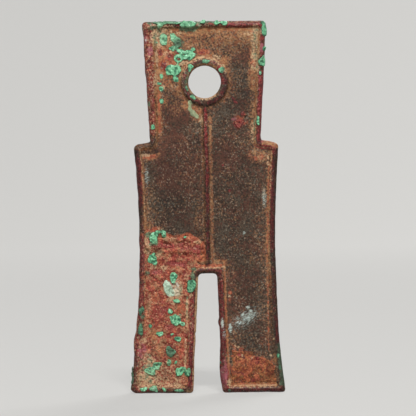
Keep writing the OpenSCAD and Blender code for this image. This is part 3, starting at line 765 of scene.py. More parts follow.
        Spot(2.6, 9.2, 0.3, 0.8, 0.32), Spot(-9.2, 33.8, 0.35, 1.6, 0.32), Spot(2.35, 10.85, 0.2, 0.7),
        Spot(3.6, 10.05, 0.22, 0.6), Spot(6.4, 13.3, 0.3, 0.16, turn=30.0),
        Spot(6.8, 12.7, 0.25, 0.16, turn=30.0), Spot(5.6, 12.2, 0.25, 0.16, turn=30.0),
        Spot(9.1, 30.3, 0.35, 1.3, 0.42), Spot(-9.1, 55.1, 0.16, 0.16),
        Spot(5.9, 24.9, 0.22, 0.18, 0.8, 30.0), Spot(-5.0, 16.6, 0.7, 1.1, 0.45),
    ),
}

BACK_STAINS: dict[Stain, tuple[Mark, ...]] = {
    Stain.TAN: (
        Line((-7.0, 55.6), (7.0, 55.6), 1.6, 0.7), Line((-9.7, 36.0), (-9.4, 20.0), 0.5, 0.6),
        Line((9.7, 36.0), (9.4, 20.0), 0.5, 0.6), Line((-3.2, 20.0), (-3.4, 3.0), 0.4, 0.6),
    ),
    Stain.RUST: (
        Spot(6.8, 8.0, 3.0, 6.0, 0.6), Spot(-5.0, 47.0, 1.6, 2.4, 0.55), Spot(3.0, 29.0, 2.4, 3.0, 0.5),
    ),
    Stain.WINE: (
        Spot(7.5, 12.0, 1.2, 1.6, 0.8), Spot(-7.0, 51.0, 1.0, 1.4, 0.7),
    ),
    Stain.CREAM: (Spot(-9.3, 36.6, 0.5, 0.8, 0.7), Line((3.6, 1.3), (9.6, 1.3), 0.4, 0.6)),
    Stain.GREEN: (
        Spot(5.5, 46.0, 1.2, 1.0, 0.9, 20.0), Spot(7.4, 53.5, 0.8, 1.5, 0.8),
        Spot(-7.0, 14.0, 0.9, 1.3, 0.9), Spot(-5.5, 26.0, 0.7, 0.9, 0.7),
    ),
    Stain.SOOT: (Spot(4.0, 33.0, 3.5, 5.0, 0.5), Spot(-5.0, 33.0, 3.2, 5.0, 0.5)),
}


@dataclass(frozen=True)
class Hole:
    """Round string hole: its centre and radius."""

    x: float
    z: float
    radius: float

    @classmethod
    def from_record(cls) -> "Hole":
        """Read the hole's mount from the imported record."""
        mount = next(m for m in frame["record"]["mounts"] if m["name"] == "string_hole")
        return cls(mount["pos_m"][0] / MM, mount["pos_m"][2] / MM, mount["dims"]["r_mm"])

    def away(self, x: Array, z: Array) -> Array:
        """Give the distance from the hole's axis."""
        return np.hypot(x - self.x, z - self.z)


class Relief:
    """Both faces of the coin as height maps, with the inset from its outline."""

    MARGIN = 1.2
    EDGE_ROUND = 0.22
    LEAN = 0.16
    COLLAR_SPREAD = 0.26
    COLLAR_REACH: Ramp = (2.4, 1.0)
    HOLE_SHARE = 1.5
    LIP_SHARE = 1.4
    NEAR_AXIS = 0.1

    def __init__(self, node: str, hole: Hole, step: float) -> None:
        """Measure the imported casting.

        Args:
            node: The casting's node.
            hole: Its string hole.
            step: The maps' spacing.
        """
        low, high = (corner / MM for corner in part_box(node))
        self.plan = FacePlan(
            (low.x - self.MARGIN, low.z - self.MARGIN), (high.x + self.MARGIN, high.z + self.MARGIN), step
        )
        self.hole = hole
        self.x, self.z = self.plan.grid()
        shape = CadShape(node)
        upright = self.x - self.lean(self.z)
        self.away = hole.away(self.x, self.z)
        pull = self._collar_pull()
        upright, height = hole.x + (upright - hole.x) * pull, hole.z + (self.z - hole.z) * pull
        front, back = (shape.reach(upright, height, side) for side in (-1, 1))
        in_hole = np.isnan(front) & (self.away < self.HOLE_SHARE * hole.radius)
        outline = shape.outline()
        outline[..., 0] += self.lean(outline[..., 1])
        self.inset = self._inset(outline, ~np.isnan(front) | in_hole)
        self.front, self.back = (self._filled(face, in_hole) for face in (front, back))

    def _collar_pull(self) -> Array:
        """Draw the collar out to the width that its crust gives it.

        Returns:
            The factor on the distance from the hole's axis at which each place is measured.
        """
        lip = np.maximum(self.away - self.hole.radius, 0.0)
        drawn = lip * (1.0 - self.COLLAR_SPREAD * ease(lip, *self.COLLAR_REACH))
        away = np.maximum(self.away, self.NEAR_AXIS)
        return np.where(lip > 0.0, (self.hole.radius + drawn) / away, 1.0)

    @classmethod
    def lean(cls, z: Array) -> Array:
        """Give how far the bent blade stands to the right at each height."""
        return cls.LEAN * BENT_BLADE.weight(np.zeros_like(z), z)

    def _inset(self, segments: Array, inside: Array) -> Array:
        """Measure how far each grid point lies inside the outline.

        Args:
            segments: The outline's segments.
            inside: Which grid points it encloses.

        Returns:
            The distance to the outline, less than zero outside it.
        """
        nearest = np.full(self.x.shape, np.inf)
        for start, end in segments:
            nearest = np.minimum(nearest, off_segment(self.x, self.z, start, end))
        return np.where(inside, nearest, -nearest)

    def _filled(self, face: Array, in_hole: Array) -> Array:
        """Carry a height map on over the hole and past the outline.

        Args:
            face: The map as measured.
            in_hole: Which grid points lie in the hole.

        Returns:
            The map with no gaps.
        """
        lip = np.nanmax(np.where(self.away < self.LIP_SHARE * self.hole.radius, face, np.nan))
        edge = np.nanmin(face)
        return np.where(in_hole, lip, np.where(np.isnan(face), edge, face))

    def gap(self, x: Array, y: Array, z: Array, front_only: bool = False) -> Array:
        """Measure how far the points of a grid lie outside the coin.

        Args:
            x, y, z: The grid's axes.
            front_only: Whether the back face is left out of it.

        Returns:
            The field on the grid, less than zero inside.
        """
        across, up = np.meshgrid(x, z, indexing="ij")
        front, back, inset = (
            self.plan.pick(values, across, up)[:, None, :] for values in (self.front, self.back, self.inset)
        )
        level = y[None, :, None]
        face = -level - front if front_only else np.where(level < 0.0, -level - front, level - back)
        return round_max(face, -inset + 0.0 * level, self.EDGE_ROUND)


class Port:
    """A shader value that takes part in Python arithmetic, where each step adds a Math node."""

    def __init__(self, surface: "Surface", socket: bpy.types.NodeSocket) -> None:
        """Hold the socket that the value comes from."""
        self.surface = surface
        self.socket = socket

    def _join(self, operation: str, first: "Value", second: "Value", clamp: bool = False) -> "Port":
        """Add a Math node.

        Args:
            operation: The node's operation.
            first, second: What it takes.
            clamp: Whether its result is held between 0 and 1.

        Returns:
            The result.
        """
        settings = {"operation": operation, "use_clamp": clamp}
        return self.surface.node("ShaderNodeMath", settings, {0: first, 1: second}).port(0)

    def __add__(self, other: "Value") -> "Port":
        """Add."""
        return self._join("ADD", self, other)

    __radd__ = __add__

    def __sub__(self, other: "Value") -> "Port":
        """Take other away."""
        return self._join("SUBTRACT", self, other)

    def __rsub__(self, other: "Value") -> "Port":
        """Take this away from other."""
        return self._join("SUBTRACT", other, self)

    def __mul__(self, other: "Value") -> "Port":
        """Multiply."""
        return self._join("MULTIPLY", self, other)

    __rmul__ = __mul__

    def __abs__(self) -> "Port":
        """Drop the sign."""
        return self._join("ABSOLUTE", self, 0.0)

    def held(self) -> "Port":
        """Hold the value between 0 and 1."""
        return self._join("ADD", self, 0.0, clamp=True)

    def rise(self, low: float, high: float) -> "Port":
        """Stretch low to high over 0 to 1, held there; low may be the larger."""
        return ((self - low) * (1.0 / (high - low))).held()


Value = Port | float | Sequence[float]


@dataclass(frozen=True)
class Made:
    """A node just added to a finish, whose outputs are read as ports."""

    surface: "Surface"
    node: bpy.types.Node

    def port(self, name: str | int) -> Port:
        """Read an output.

        Args:
            name: The output's place, identifier or name.

        Returns:
            Its port.
        """
        outputs = self.node.outputs
        if isinstance(name, int):
            return Port(self.surface, outputs[name])
        return Port(self.surface, next(s for s in outputs if name in (s.identifier, s.name)))


class Surface:
    """A finish's material while its nodes are being joined."""

    STAIN_DETAIL = 3.0
    STAIN_SOFT = 0.22
    STAIN_SHIFT = 30.0
    STAIN_SPACING = 7.0
    STREAK_DETAIL = 2.0
    MARK_FOOT: Ramp = (0.02, 0.3)

    def __init__(self, name: str) -> None:
        """Start an empty material with object coordinates.

        Args:
            name: The material's name.
        """
        self.material = bpy.data.materials.new(name)
        self.material.use_nodes = True
        self.tree = self.material.node_tree
        self.tree.nodes.clear()
        self.place = self.node("ShaderNodeTexCoord").port("Object")

    def node(
        self,
        kind: str,
        settings: Mapping[str, object] | None = None,
        sockets: Mapping[str | int, Value] | None = None,
    ) -> Made:
        """Add a node.

        Args:
            kind: The node's type.
            settings: Its own settings, which are set first.
            sockets: The values or links of its inputs, by place, identifier or name.

        Returns:
            The node.
        """
        made = self.tree.nodes.new(kind)
        for key, value in (settings or {}).items():
            setattr(made, key, value)
        for key, value in (sockets or {}).items():
            if isinstance(key, int):
                socket = made.inputs[key]
            else:
                socket = next(s for s in made.inputs if key in (s.identifier, s.name))
            if isinstance(value, Port):
                self.tree.links.new(value.socket, socket)
            else:
                socket.default_value = value
        return Made(self, made)

    def worn(self, name: str) -> Port:
        """Read a value that the mesh carries on its vertices."""
        return self.node("ShaderNodeAttribute", {"attribute_name": name}).port("Fac")

    def streaks(self, size: float, long: float, turn: float) -> Port:
        """Add noise that is drawn out along one direction of the face.

        Args:
            size: The size of its features across that direction.
            long: How many times longer they are along it.
            turn: The direction, in degrees up from the x axis.

        Returns:
            Values from 0 to 1, mostly near the middle.
        """
        rotation = (0.0, -math.radians(turn), 0.0)
        sockets = {"Vector": self.place, "Rotation": rotation, "Scale": (long, 1.0, 1.0)}
        laid = self.node("ShaderNodeMapping", {"vector_type": "TEXTURE"}, sockets)
        grain = {"Vector": laid.port(0), "Scale": 1.0 / (size * MM), "Detail": self.STREAK_DETAIL}
        return self.node("ShaderNodeTexNoise", None, grain).port("Fac")

    def noise(self, size: float, detail: float = 2.0, shift: float = 0.0) -> Port:
        """Add noise.

        Args:
            size: The size of its largest features.
            detail: How many finer octaves it has.
            shift: How far it is moved, so that noises of one size differ.

        Returns:
            Values from 0 to 1, mostly near the middle.
        """
        move = {0: self.place, 1: (shift * MM,) * 3}
        moved = self.node("ShaderNodeVectorMath", {"operation": "ADD"}, move)
        sockets = {"Vector": moved.port(0), "Scale": 1.0 / (size * MM), "Detail": detail}
        return self.node("ShaderNodeTexNoise", None, sockets).port("Fac")

    def blend(self, factor: Value, first: Value, second: Value) -> Port:
        """Mix two colours.

        Args:
            factor: The share of the second.
            first, second: The colours.

        Returns:
            The mixed colour.
        """
        sockets = {"Factor_Float": factor, "A_Color": first, "B_Color": second}
        return self.node("ShaderNodeMix", {"data_type": "RGBA"}, sockets).port("Result_Color")

    def shade(self, colour: Port, factor: Value) -> Port:
        """Make a colour lighter or darker by a factor."""
        sockets = {0: colour, "Scale": factor}
        return self.node("ShaderNodeVectorMath", {"operation": "SCALE"}, sockets).port(0)

    def ragged(self, mask: Port, grain: Port, reach: float, soft: float) -> Port:
        """Break up a mark's border.

        Args:
            mask: The mark's strength, 0.5 at its border.
            grain: The noise that moves the border.
            reach: How strongly it does.
            soft: The width of the new border.

        Returns:
            The broken mark, from 0 to 1.
        """
        moved = mask + (grain - 0.5) * reach
        return moved.rise(0.5 - soft, 0.5 + soft) * mask.rise(*self.MARK_FOOT)

    def stain(self, stain: Stain, size: float, reach: float) -> Port:
        """Read a stain that the mesh carries and break up its border.

        Args:
            stain: Which stain.
            size: The size of the bays and islands along its border.
            reach: How strongly they move it.

        Returns:
            The stain's share, from 0 to 1.
        """
        shift = self.STAIN_SHIFT + self.STAIN_SPACING * list(Stain).index(stain)
        grain = self.noise(size, self.STAIN_DETAIL, shift)
        return self.ragged(self.worn(stain.value), grain, reach, self.STAIN_SOFT)

    def finish(
        self, colour: Port, roughness: Value, height: Port, depth: float, gloss: float
    ) -> bpy.types.Material:
        """Join the shader.

        Args:
            colour: Its colour.
            roughness: Its roughness.
            height: The bump's height, from 0 to 1.
            depth: What a height of 1 measures.
            gloss: Its specular level.

        Returns:
            The finished material.
        """
        relief = {"Strength": 1.0, "Distance": depth * MM, "Height": height}
        bump = self.node("ShaderNodeBump", None, relief)
        sockets = {
            "Base Color": colour,
            "Roughness": roughness,
            "Specular IOR Level": gloss,
            "Normal": bump.port("Normal"),
        }
        shader = self.node("ShaderNodeBsdfPrincipled", None, sockets)
        self.node("ShaderNodeOutputMaterial", None, {"Surface": shader.port("BSDF")})
        return self.material


@dataclass(frozen=True)
class Layer:
    """How a stain is laid on: its border's size and reach, its share, and the sand that parts it."""

    stain: Stain
    size: float
    reach: float
    share: float
    parting: Ramp | None = None


LAYERS = (
    Layer(Stain.RUST, 0.9, 2.2, 0.85, (0.36, 0.6)),
    Layer(Stain.WINE, 0.7, 2.2, 0.9, (0.4, 0.66)),
    Layer(Stain.LILAC, 0.6, 2.0, 0.75),
    Layer(Stain.CREAM, 0.3, 2.4, 0.85, (0.3, 0.55)),
    Layer(Stain.GREEN, 0.6, 2.2, 0.85, (0.38, 0.62)),
)


@dataclass(frozen=True)
class Patina:
    """Grainy skin of metal or red oxide under listed stains."""

    name: str
    deep: Colour
    middle: Colour
    light: Colour
    pale: Colour
    red: Colour
    grey: Colour
    border: Colour | None = None
    grain_size: float = 0.29
    grain_depth: float = 0.03
    patch_size: float = 2.6
    patch_pull: float = 0.55
    ruddy_pull: float = 0.14
    cloud_size: float = 0.9
    cloud_pull: float = 1.2
    sparkle: float = 0.72
    gloss: float = 0.25
    tan: Colour = tint(184, 134, 90)
    tan_red: Colour = tint(160, 96, 62)
    rust: Colour = tint(180, 98, 66)
    rust_deep: Colour = tint(128, 62, 48)
    wine: Colour = tint(154, 60, 60)
    wine_deep: Colour = tint(84, 27, 27)
    lilac: Colour = tint(170, 98, 106)
    cream: Colour = tint(202, 169, 131)
    green: Colour = tint(116, 142, 112)
    green_deep: Colour = tint(80, 104, 80)
    chalk: Colour = tint(194, 210, 200)
    sand_parting: Ramp = (0.36, 0.64)
    tinge_from: Ramp = (0.5, 0.64)
    red_share: float = 0.85
    grey_share: float = 0.75
    border_from: Ramp = (0.5, 0.15)
    border_stray: float = 1.4
    dark_from: Ramp = (0.4, 0.3)
    dark_share: float = 0.6
    tan_gain: float = 1.25
    tan_drift: float = 1.4
    tan_sand: float = 2.4
    tan_loss: float = 0.2
    tan_share: float = 0.85
    tan_parting: Ramp = (0.4, 0.6)
    grime_and_shade_drift: float = 0.5
    grime_and_shade_share: float = 0.62
    glint_from: Ramp = (0.5, 0.66)
    fleck_from: Ramp = (0.48, 0.62)
    fleck_parting: Ramp = (0.42, 0.58)
    gathered_from: Ramp = (0.3, 0.6)
    grime_and_shade_fleck_loss: float = 0.4
    chalk_share: float = 0.75
    chalk_reach: float = 2.2
    chalk_soft: float = 0.4
    streak_size: float = 0.2
    streak_long: float = 2.4
    streak_turn: float = 30.0
    roughness: float = 0.64
    wine_polish: float = 0.2
    sand_roughness: float = 0.3

    def material(self) -> bpy.types.Material:
        """Build the material.

        Returns:
            The material.
        """
        s = Surface(self.name)
        sand = s.noise(self.grain_size, 1.5)
        glint = s.noise(self.grain_size, 1.0, shift=9.0)
        ruddy = s.noise(1.5 * self.grain_size, 1.0, shift=24.0)
        drift = s.noise(self.patch_size, 3.0, shift=18.0)
        colour = self._ground(s, sand, glint)
        tan = s.worn(Stain.TAN.value) * self.tan_gain + (drift - 0.5) * self.tan_drift
        tan = tan + (sand - 0.5) * self.tan_sand - self.tan_loss
        earth = s.blend(ruddy.rise(*self.tan_parting), self.tan, self.tan_red)
        colour = s.blend(tan.held() * self.tan_share, colour, earth)
        masks = {layer.stain: s.stain(layer.stain, layer.size, layer.reach) for layer in LAYERS}
        for layer in LAYERS:
            colour = self._laid(s, layer, masks[layer.stain], sand, colour)
        # Darken by grime and by painted shade, which one vertex value carries together.
        soot = s.worn(Stain.SOOT.value) + (drift - 0.5) * self.grime_and_shade_drift
        colour = s.shade(colour, 1.0 - soot.held() * self.grime_and_shade_share)
        fine = s.noise(0.8 * self.grain_size, 1.0, shift=15.0)
        fleck = glint.rise(*self.glint_from) * fine.rise(*self.fleck_from)
        gathered = drift.rise(*self.gathered_from) * (1.0 - soot.held() * self.grime_and_shade_fleck_loss)
        bright = s.blend(ruddy.rise(*self.fleck_parting), self.light, self.pale)
        colour = s.blend(fleck * gathered * self.sparkle, colour, bright)
        wiped = s.streaks(self.streak_size, self.streak_long, self.streak_turn)
        dust = s.ragged(s.worn(Stain.CHALK.value), wiped, self.chalk_reach, self.chalk_soft)
        colour = s.blend(dust * self.chalk_share, colour, self.chalk)
        height = sand * 0.5 + glint * 0.5
        polished = self.roughness - masks[Stain.WINE] * self.wine_polish
        roughness = polished + (sand - 0.5) * self.sand_roughness
        return s.finish(colour, roughness, height, self.grain_depth, self.gloss)

    def _laid(self, s: Surface, layer: Layer, mask: Port, sand: Port, colour: Port) -> Port:
        """Lay a stain over what is there, in two colours of grain where it has them.

        Args:
            s: The material.
            layer: How the stain is laid on.
            mask: The stain's share.
            sand: The noise that parts its two colours, or thins it where it has one.
            colour: What is there.

        Returns:
            The stained colour.
        """
        paints = {
            Stain.RUST: (self.rust_deep, self.rust),
            Stain.WINE: (self.wine_deep, self.wine),
            Stain.GREEN: (self.green_deep, self.green),
        }
        if layer.stain in paints:
            paint = s.blend(sand.rise(*layer.parting), *paints[layer.stain])
        else:
            paint = self.lilac if layer.stain is Stain.LILAC else self.cream
            mask = mask * sand.rise(*layer.parting) if layer.parting else mask
        return s.blend(mask * layer.share, colour, paint)

    def _ground(self, s: Surface, sand: Port, glint: Port) -> Port:
        """Mix the colours of the bare skin.

        Args:
            s: The material.
            sand: The noise that parts deep and middle grains.
            glint: The noise that picks the brightest and the darkest grains.

        Returns:
            The mixed colour.
        """
        patch = s.noise(self.patch_size, 3.0, shift=12.0)
        ruddy = s.noise(self.grain_size, 1.5, shift=3.0)
        ashy = s.noise(self.grain_size, 1.5, shift=6.0)
        colour = s.blend(sand.rise(*self.sand_parting), self.deep, self.middle)
        pull = (patch - 0.5) * self.patch_pull + s.worn(Stain.RUDDY.value) * self.ruddy_pull
        colour = s.blend((ruddy + pull).rise(*self.tinge_from) * self.red_share, colour, self.red)
        colour = s.blend((ashy - pull).rise(*self.tinge_from) * self.grey_share, colour, self.grey)
        if self.border:
            inside = s.worn("core") + (patch - 0.5) * self.border_stray + (ashy - 0.5) * self.border_stray
            colour = s.blend(inside.rise(*self.border_from), colour, self.border)
        colour = s.blend(glint.rise(*self.dark_from) * self.dark_share, colour, self.deep)
        cloud = s.noise(self.cloud_size, 2.0, shift=27.0)
        return s.shade(colour, cloud * self.cloud_pull + (1.0 - 0.5 * self.cloud_pull))


@dataclass(frozen=True)
class Mineral:
    """Crystalline crust, lighter on its ridges and darker in its hollows and at its thin border."""

    name: str
    deep: Colour
    middle: Colour
    light: Colour
    border: Colour
    cream: Colour = tint(204, 178, 150)
    dull: Colour = tint(92, 108, 86)
    grain_size: float = 0.24
    grain_depth: float = 0.04
    cream_share: float = 0.15
    cream_size: float = 0.5
    cream_reach: float = 2.0
    gloss: float = 0.3
    on_slopes: Ramp = (0.3, 0.75)
    on_ridges: Ramp = (0.8, 1.25)
    in_creases: Ramp = (0.045, 0.0)
    at_border: Ramp = (0.45, 0.05)
    crease_share: float = 0.55
    border_share: float = 0.75
    border_stray: float = 1.2
    dull_share: float = 0.7
    dull_shade: float = 0.4
    grain_stray: float = 1.6
    cloud_stray: float = 1.2
    shade_low: float = 0.75
    shade_range: float = 0.5
    roughness: float = 0.6
    sand_roughness: float = 0.3

    def material(self) -> bpy.types.Material:
        """Build the material.

        Returns:
            The material.
        """
        s = Surface(self.name)
        fine = s.noise(self.grain_size, 1.0)
        sand = s.noise(1.6 * self.grain_size, 2.0, shift=5.0)
        cloud = s.noise(6.0 * self.grain_size, 2.0, shift=9.0)
        lift = s.worn("lift")
        slopes = (lift + (sand - 0.5) * self.grain_stray).rise(*self.on_slopes)
        colour = s.blend(slopes, self.deep, self.middle)
        peaks = lift + (fine - 0.5) * self.grain_stray + (cloud - 0.5) * self.cloud_stray
        colour = s.blend(peaks.rise(*self.on_ridges), colour, self.light)
        crease = abs(s.noise(1.4 * self.grain_size, 1.0, shift=13.0) - 0.5).rise(*self.in_creases)
        colour = s.blend(crease * self.crease_share, colour, self.deep)
        thin = (s.worn("core") + (fine - 0.5) * self.border_stray).rise(*self.at_border)
        colour = s.blend(thin * self.border_share, colour, self.border)
        dusted = s.stain(Stain.CREAM, self.cream_size, self.cream_reach)
        colour = s.blend(dusted * self.cream_share, colour, self.cream)
        # Dull and darken by grime and by painted shade in the crust's hollows.
        soot = s.worn(Stain.SOOT.value).held()
        colour = s.blend(soot * self.dull_share, colour, self.dull)
        light = fine * self.shade_range + self.shade_low
        colour = s.shade(colour, light * (1.0 - soot * self.dull_shade))
        roughness = self.roughness + (sand - 0.5) * self.sand_roughness
        return s.finish(colour, roughness, fine * 0.5 + sand * 0.5, self.grain_depth, self.gloss)


@dataclass(frozen=True)
class Paper:
    """Pale matt studio floor that keeps a shadow and looks pale to the camera."""

    name: str = "floor_paper"
    paint: Colour = tint(172, 171, 168)
    paint_low: Colour = tint(168, 167, 164)
    seen: Colour = tint(232, 231, 228)
    seen_share: float = 0.55
    tooth: float = 2.0
    tooth_depth: float = 0.1
    tooth_strength: float = 0.2
    roughness: float = 0.9
    gloss: float = 0.1

    def material(self) -> bpy.types.Material:
        """Build the material.

        Returns:
            The material.
        """
        s = Surface(self.name)
        fibre = s.noise(self.tooth, 3.0)
        colour = s.blend(fibre, self.paint, self.paint_low)
        tooth = {"Strength": self.tooth_strength, "Distance": self.tooth_depth * MM, "Height": fibre}
        bump = s.node("ShaderNodeBump", None, tooth)
        sockets = {
            "Base Color": colour,
            "Roughness": self.roughness,
            "Specular IOR Level": self.gloss,
            "Normal": bump.port("Normal"),
        }
        paper = s.node("ShaderNodeBsdfPrincipled", None, sockets)
        glow = s.node("ShaderNodeEmission", None, {"Color": self.seen, "Strength": 1.0})
        path = s.node("ShaderNodeLightPath")
        seen = path.port("Is Camera Ray") + path.port("Is Glossy Ray") + path.port("Is Transmission Ray")
        shaders = {0: seen.held() * self.seen_share, 1: paper.port(0), 2: glow.port(0)}
        mixed = s.node("ShaderNodeMixShader", None, shaders)
        s.node("ShaderNodeOutputMaterial", None, {"Surface": mixed.port(0)})
        return s.material


BRONZE = Patina(
    name="brown_bronze",
    deep=tint(50, 34, 22),
    middle=tint(77, 58, 43),
    light=tint(180, 154, 128),
    pale=tint(146, 138, 122),
    red=tint(94, 55, 42),
    grey=tint(86, 78, 66),
    grain_depth=0.04,
)
RED_OXIDE = Patina(
    name="red_oxide",
    deep=tint(108, 47, 38),
    middle=tint(182, 98, 72),
    light=tint(228, 178, 142),
    pale=tint(190, 134, 106),
    red=tint(132, 52, 48),
    grey=tint(160, 122, 90),
    border=tint(88, 66, 52),
    grain_size=0.25,
    grain_depth=0.09,
    patch_size=1.2,
    patch_pull=1.0,
    cloud_pull=2.2,
    sparkle=0.85,
    gloss=0.2,
    wine=tint(168, 76, 72),
    wine_deep=tint(112, 44, 42),
)
OCHRE_OXIDE = Patina(
    name="ochre_oxide",
    deep=tint(66, 35, 25),
    middle=tint(150, 81, 47),
    light=tint(204, 140, 84),
    pale=tint(170, 106, 62),
    red=tint(112, 43, 40),
    grey=tint(126, 88, 56),
    border=tint(84, 62, 48),
    grain_size=0.25,
    grain_depth=0.03,
    patch_size=1.2,
    patch_pull=0.8,
    sparkle=0.7,
    gloss=0.2,
)
GREEN_STONE = Mineral(
    name="green_malachite",
    deep=tint(58, 116, 88),
    middle=tint(126, 197, 150),
    light=tint(172, 226, 190),
    border=tint(96, 140, 106),
)
PALE_STONE = Mineral(
    name="pale_malachite",
    deep=tint(140, 164, 138),
    middle=tint(184, 208, 184),
    light=tint(214, 230, 212),
    border=tint(150, 146, 116),
    cream_share=0.8,
)
OLIVE_STONE = Mineral(
    name="olive_malachite",
    deep=tint(140, 150, 114),
    middle=tint(180, 186, 146),
    light=tint(208, 208, 172),
    border=tint(166, 142, 106),
)
WHITE_DUST = Mineral(
    name="chalk_dust",
    deep=tint(110, 100, 88),
    middle=tint(152, 164, 158),
    light=tint(204, 220, 214),
    border=tint(104, 90, 78),
)

Finish = Patina | Mineral
FINISHES: dict[str, Finish] = {
    "bronze": BRONZE,
    "cuprite": RED_OXIDE,
    "malachite": GREEN_STONE,
    "pale_malachite": PALE_STONE,
    "chalk": WHITE_DUST,
}
NODE_FINISHES: dict[str, Finish] = {
    "right_foot_cuprite": OCHRE_OXIDE,
    "head_corner_malachite": GREEN_STONE,
    "hole_drip_malachite": OLIVE_STONE,
}


@dataclass(frozen=True)
class Habit:
    """How a crust grows: its border, how far that strays, and the shape of its top."""

    border: float
    stray: float
    stray_size: float
    lump: float
    lump_size: float
    rough: float = 0.0
    ridged: bool = False
    knobbly: bool = False
    pitted: float = 0.0
    height: float = 1.0
    grow: float = 0.0
    broken: float = 0.0
    break_size: float = 0.5
    streak_turn: float = 0.0
    streak_long: float = 1.0


HABITS: dict[str, Habit] = {
    "cuprite": Habit(0.14, 0.25, 1.0, lump=0.7, lump_size=0.8, rough=0.12, knobbly=True, pitted=1.0),
    "malachite": Habit(
        0.1, 0.18, 0.6, lump=0.45, lump_size=0.5, rough=0.02, ridged=True, height=0.7, grow=0.05
    ),
    "pale_malachite": Habit(0.12, 0.25, 0.8, lump=0.4, lump_size=0.7, ridged=True),
    "chalk": Habit(
        0.1, 0.25, 0.9, lump=0.6, lump_size=0.3, height=0.8,
        broken=0.75, break_size=0.3, streak_turn=30.0, streak_long=2.2,
    ),
}
NODE_HABITS: dict[str, Habit] = {
    "waist_cuprite": Habit(0.14, 0.1, 0.8, lump=0.6, lump_size=1.0, rough=0.07, knobbly=True, pitted=0.8),
    "right_foot_cuprite": Habit(0.3, 0.9, 1.6, lump=0.35, lump_size=0.4, rough=0.03, broken=0.25),
    "gap_rim_malachite": Habit(
        0.14, 0.3, 0.7, lump=0.5, lump_size=0.5, rough=0.02, ridged=True, height=0.5, grow=0.14
    ),
    "leg_sheet_malachite": Habit(
        0.3, 0.2, 0.8, lump=0.5, lump_size=0.4, rough=0.03, height=0.8, broken=0.2, break_size=0.4
    ),
    "left_leg_rim_malachite": Habit(0.16, 0.18, 0.6, lump=0.4, lump_size=0.5, ridged=True, height=0.4),
    "right_leg_rim_malachite": Habit(0.16, 0.25, 0.6, lump=0.4, lump_size=0.5, ridged=True, height=0.4),
    "hole_drip_malachite": Habit(0.16, 0.15, 0.6, lump=0.25, lump_size=0.6, height=0.4),
    "head_corner_malachite": Habit(0.12, 0.2, 0.8, lump=0.4, lump_size=0.5, height=0.65),
    "top_edge_malachite": Habit(0.09, 0.14, 0.8, lump=0.4, lump_size=0.5, height=0.75),
}
FEATHERED_LOW: dict[str, float] = {"waist_cuprite": 3.0}
RAISED_LIP: dict[str, float] = {"waist_cuprite": 0.09}
BITES: dict[str, tuple[Mark, ...]] = {
    "waist_cuprite": (Spot(-4.8, 25.05, 0.9, 0.8),),
    "head_field_malachite": (Spot(-3.95, 52.1, 0.34, 0.24), Spot(-4.6, 51.4, 0.4, 0.3)),
    "gap_rim_malachite": (Spot(2.5, 4.6, 0.45, 1.2),),
    "head_corner_malachite": (Spot(8.7, 57.2, 0.35, 0.45), Spot(9.75, 58.05, 0.4, 0.35)),
    "head_side_malachite": (Line((8.38, 52.2), (9.0, 52.9), 0.4),),
    "left_leg_rim_malachite": (Spot(-11.15, 4.0, 0.45, 2.6),),
    "right_leg_rim_malachite": (Spot(11.8, 4.0, 0.4, 0.8),),
    "left_leg_malachite": (Spot(-7.95, 4.4, 0.2, 0.2),),
}
SPREADS: dict[str, tuple[Mark, ...]] = {
    "leg_sheet_malachite": (Spot(-6.3, 17.1, 0.6, 0.75, turn=-15.0), Spot(-5.85, 15.8, 0.5, 0.85)),
    "top_edge_malachite": (Spot(-2.6, 57.35, 1.2, 0.4),),
    "head_field_malachite": (Spot(-1.75, 53.6, 0.35, 0.3), Spot(-3.0, 52.4, 0.4, 0.4)),
    "collar_malachite": (Spot(2.8, 50.45, 0.4, 0.4),),
    "head_corner_malachite": (Spot(9.4, 56.6, 0.4, 0.7),),
    "hole_drip_malachite": (Spot(-2.35, 45.3, 0.4, 0.45),),
    "waist_malachite": (Spot(-8.1, 23.75, 0.5, 0.5), Spot(-8.05, 20.45, 0.35, 0.5)),
    "left_leg_malachite": (
        Spot(-5.2, 18.25, 0.5, 0.65), Spot(-4.94, 11.45, 0.78, 0.8), Spot(-7.9, 4.4, 0.52, 0.52),
        Spot(-3.85, 3.7, 0.5, 0.5),
    ),
}
RAISED_FOLDS: dict[str, tuple[Mark, ...]] = {
    "waist_cuprite": (
        Line((-6.8, 22.3), (-1.0, 22.0), 0.3), Line((-7.7, 20.5), (-4.9, 21.1), 0.3),
        Line((-4.9, 21.1), (-1.7, 20.4), 0.25),
    ),
}
CARRIED_UNDER: dict[str, str] = {"left_leg_cuprite": "waist_cuprite"}


class Wardrobe:
    """The finishes' materials, each made once."""

    def __init__(self) -> None:
        """Start with none made."""
        self._made: dict[str, bpy.types.Material] = {}

    def dress(self, piece: bpy.types.Object, node: str, slot: str) -> None:
        """Give a piece its finish.

        Args:
            piece: The piece.
            node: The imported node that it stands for.
            slot: The record's material slot that it takes its finish from.
        """
        finish = NODE_FINISHES.get(node, FINISHES[slot])
        if finish.name not in self._made:
            self._made[finish.name] = finish.material()
        piece.data.materials.append(self._made[finish.name])


def stain_values(points: Array, extra: Mapping[Stain, Array]) -> dict[str, Array]:
    """Work out the stains, with painted light and shade among them, on a mesh's points.

    Args:
        points: The points.
        extra: Stains that follow the relief, added to the listed ones.

    Returns:
        Each stain's strength at each point, by the name that the finish reads.
    """
    x, y, z = points.T
    values = {}
    for stain in Stain:
        front = strongest(FRONT_STAINS.get(stain, ()), x, z)
        back = strongest(BACK_STAINS.get(stain, ()), x, z)
        placed = np.where(y < 0.0, front, back)
        values[stain.value] = np.maximum(placed, extra.get(stain, 0.0))
    return values


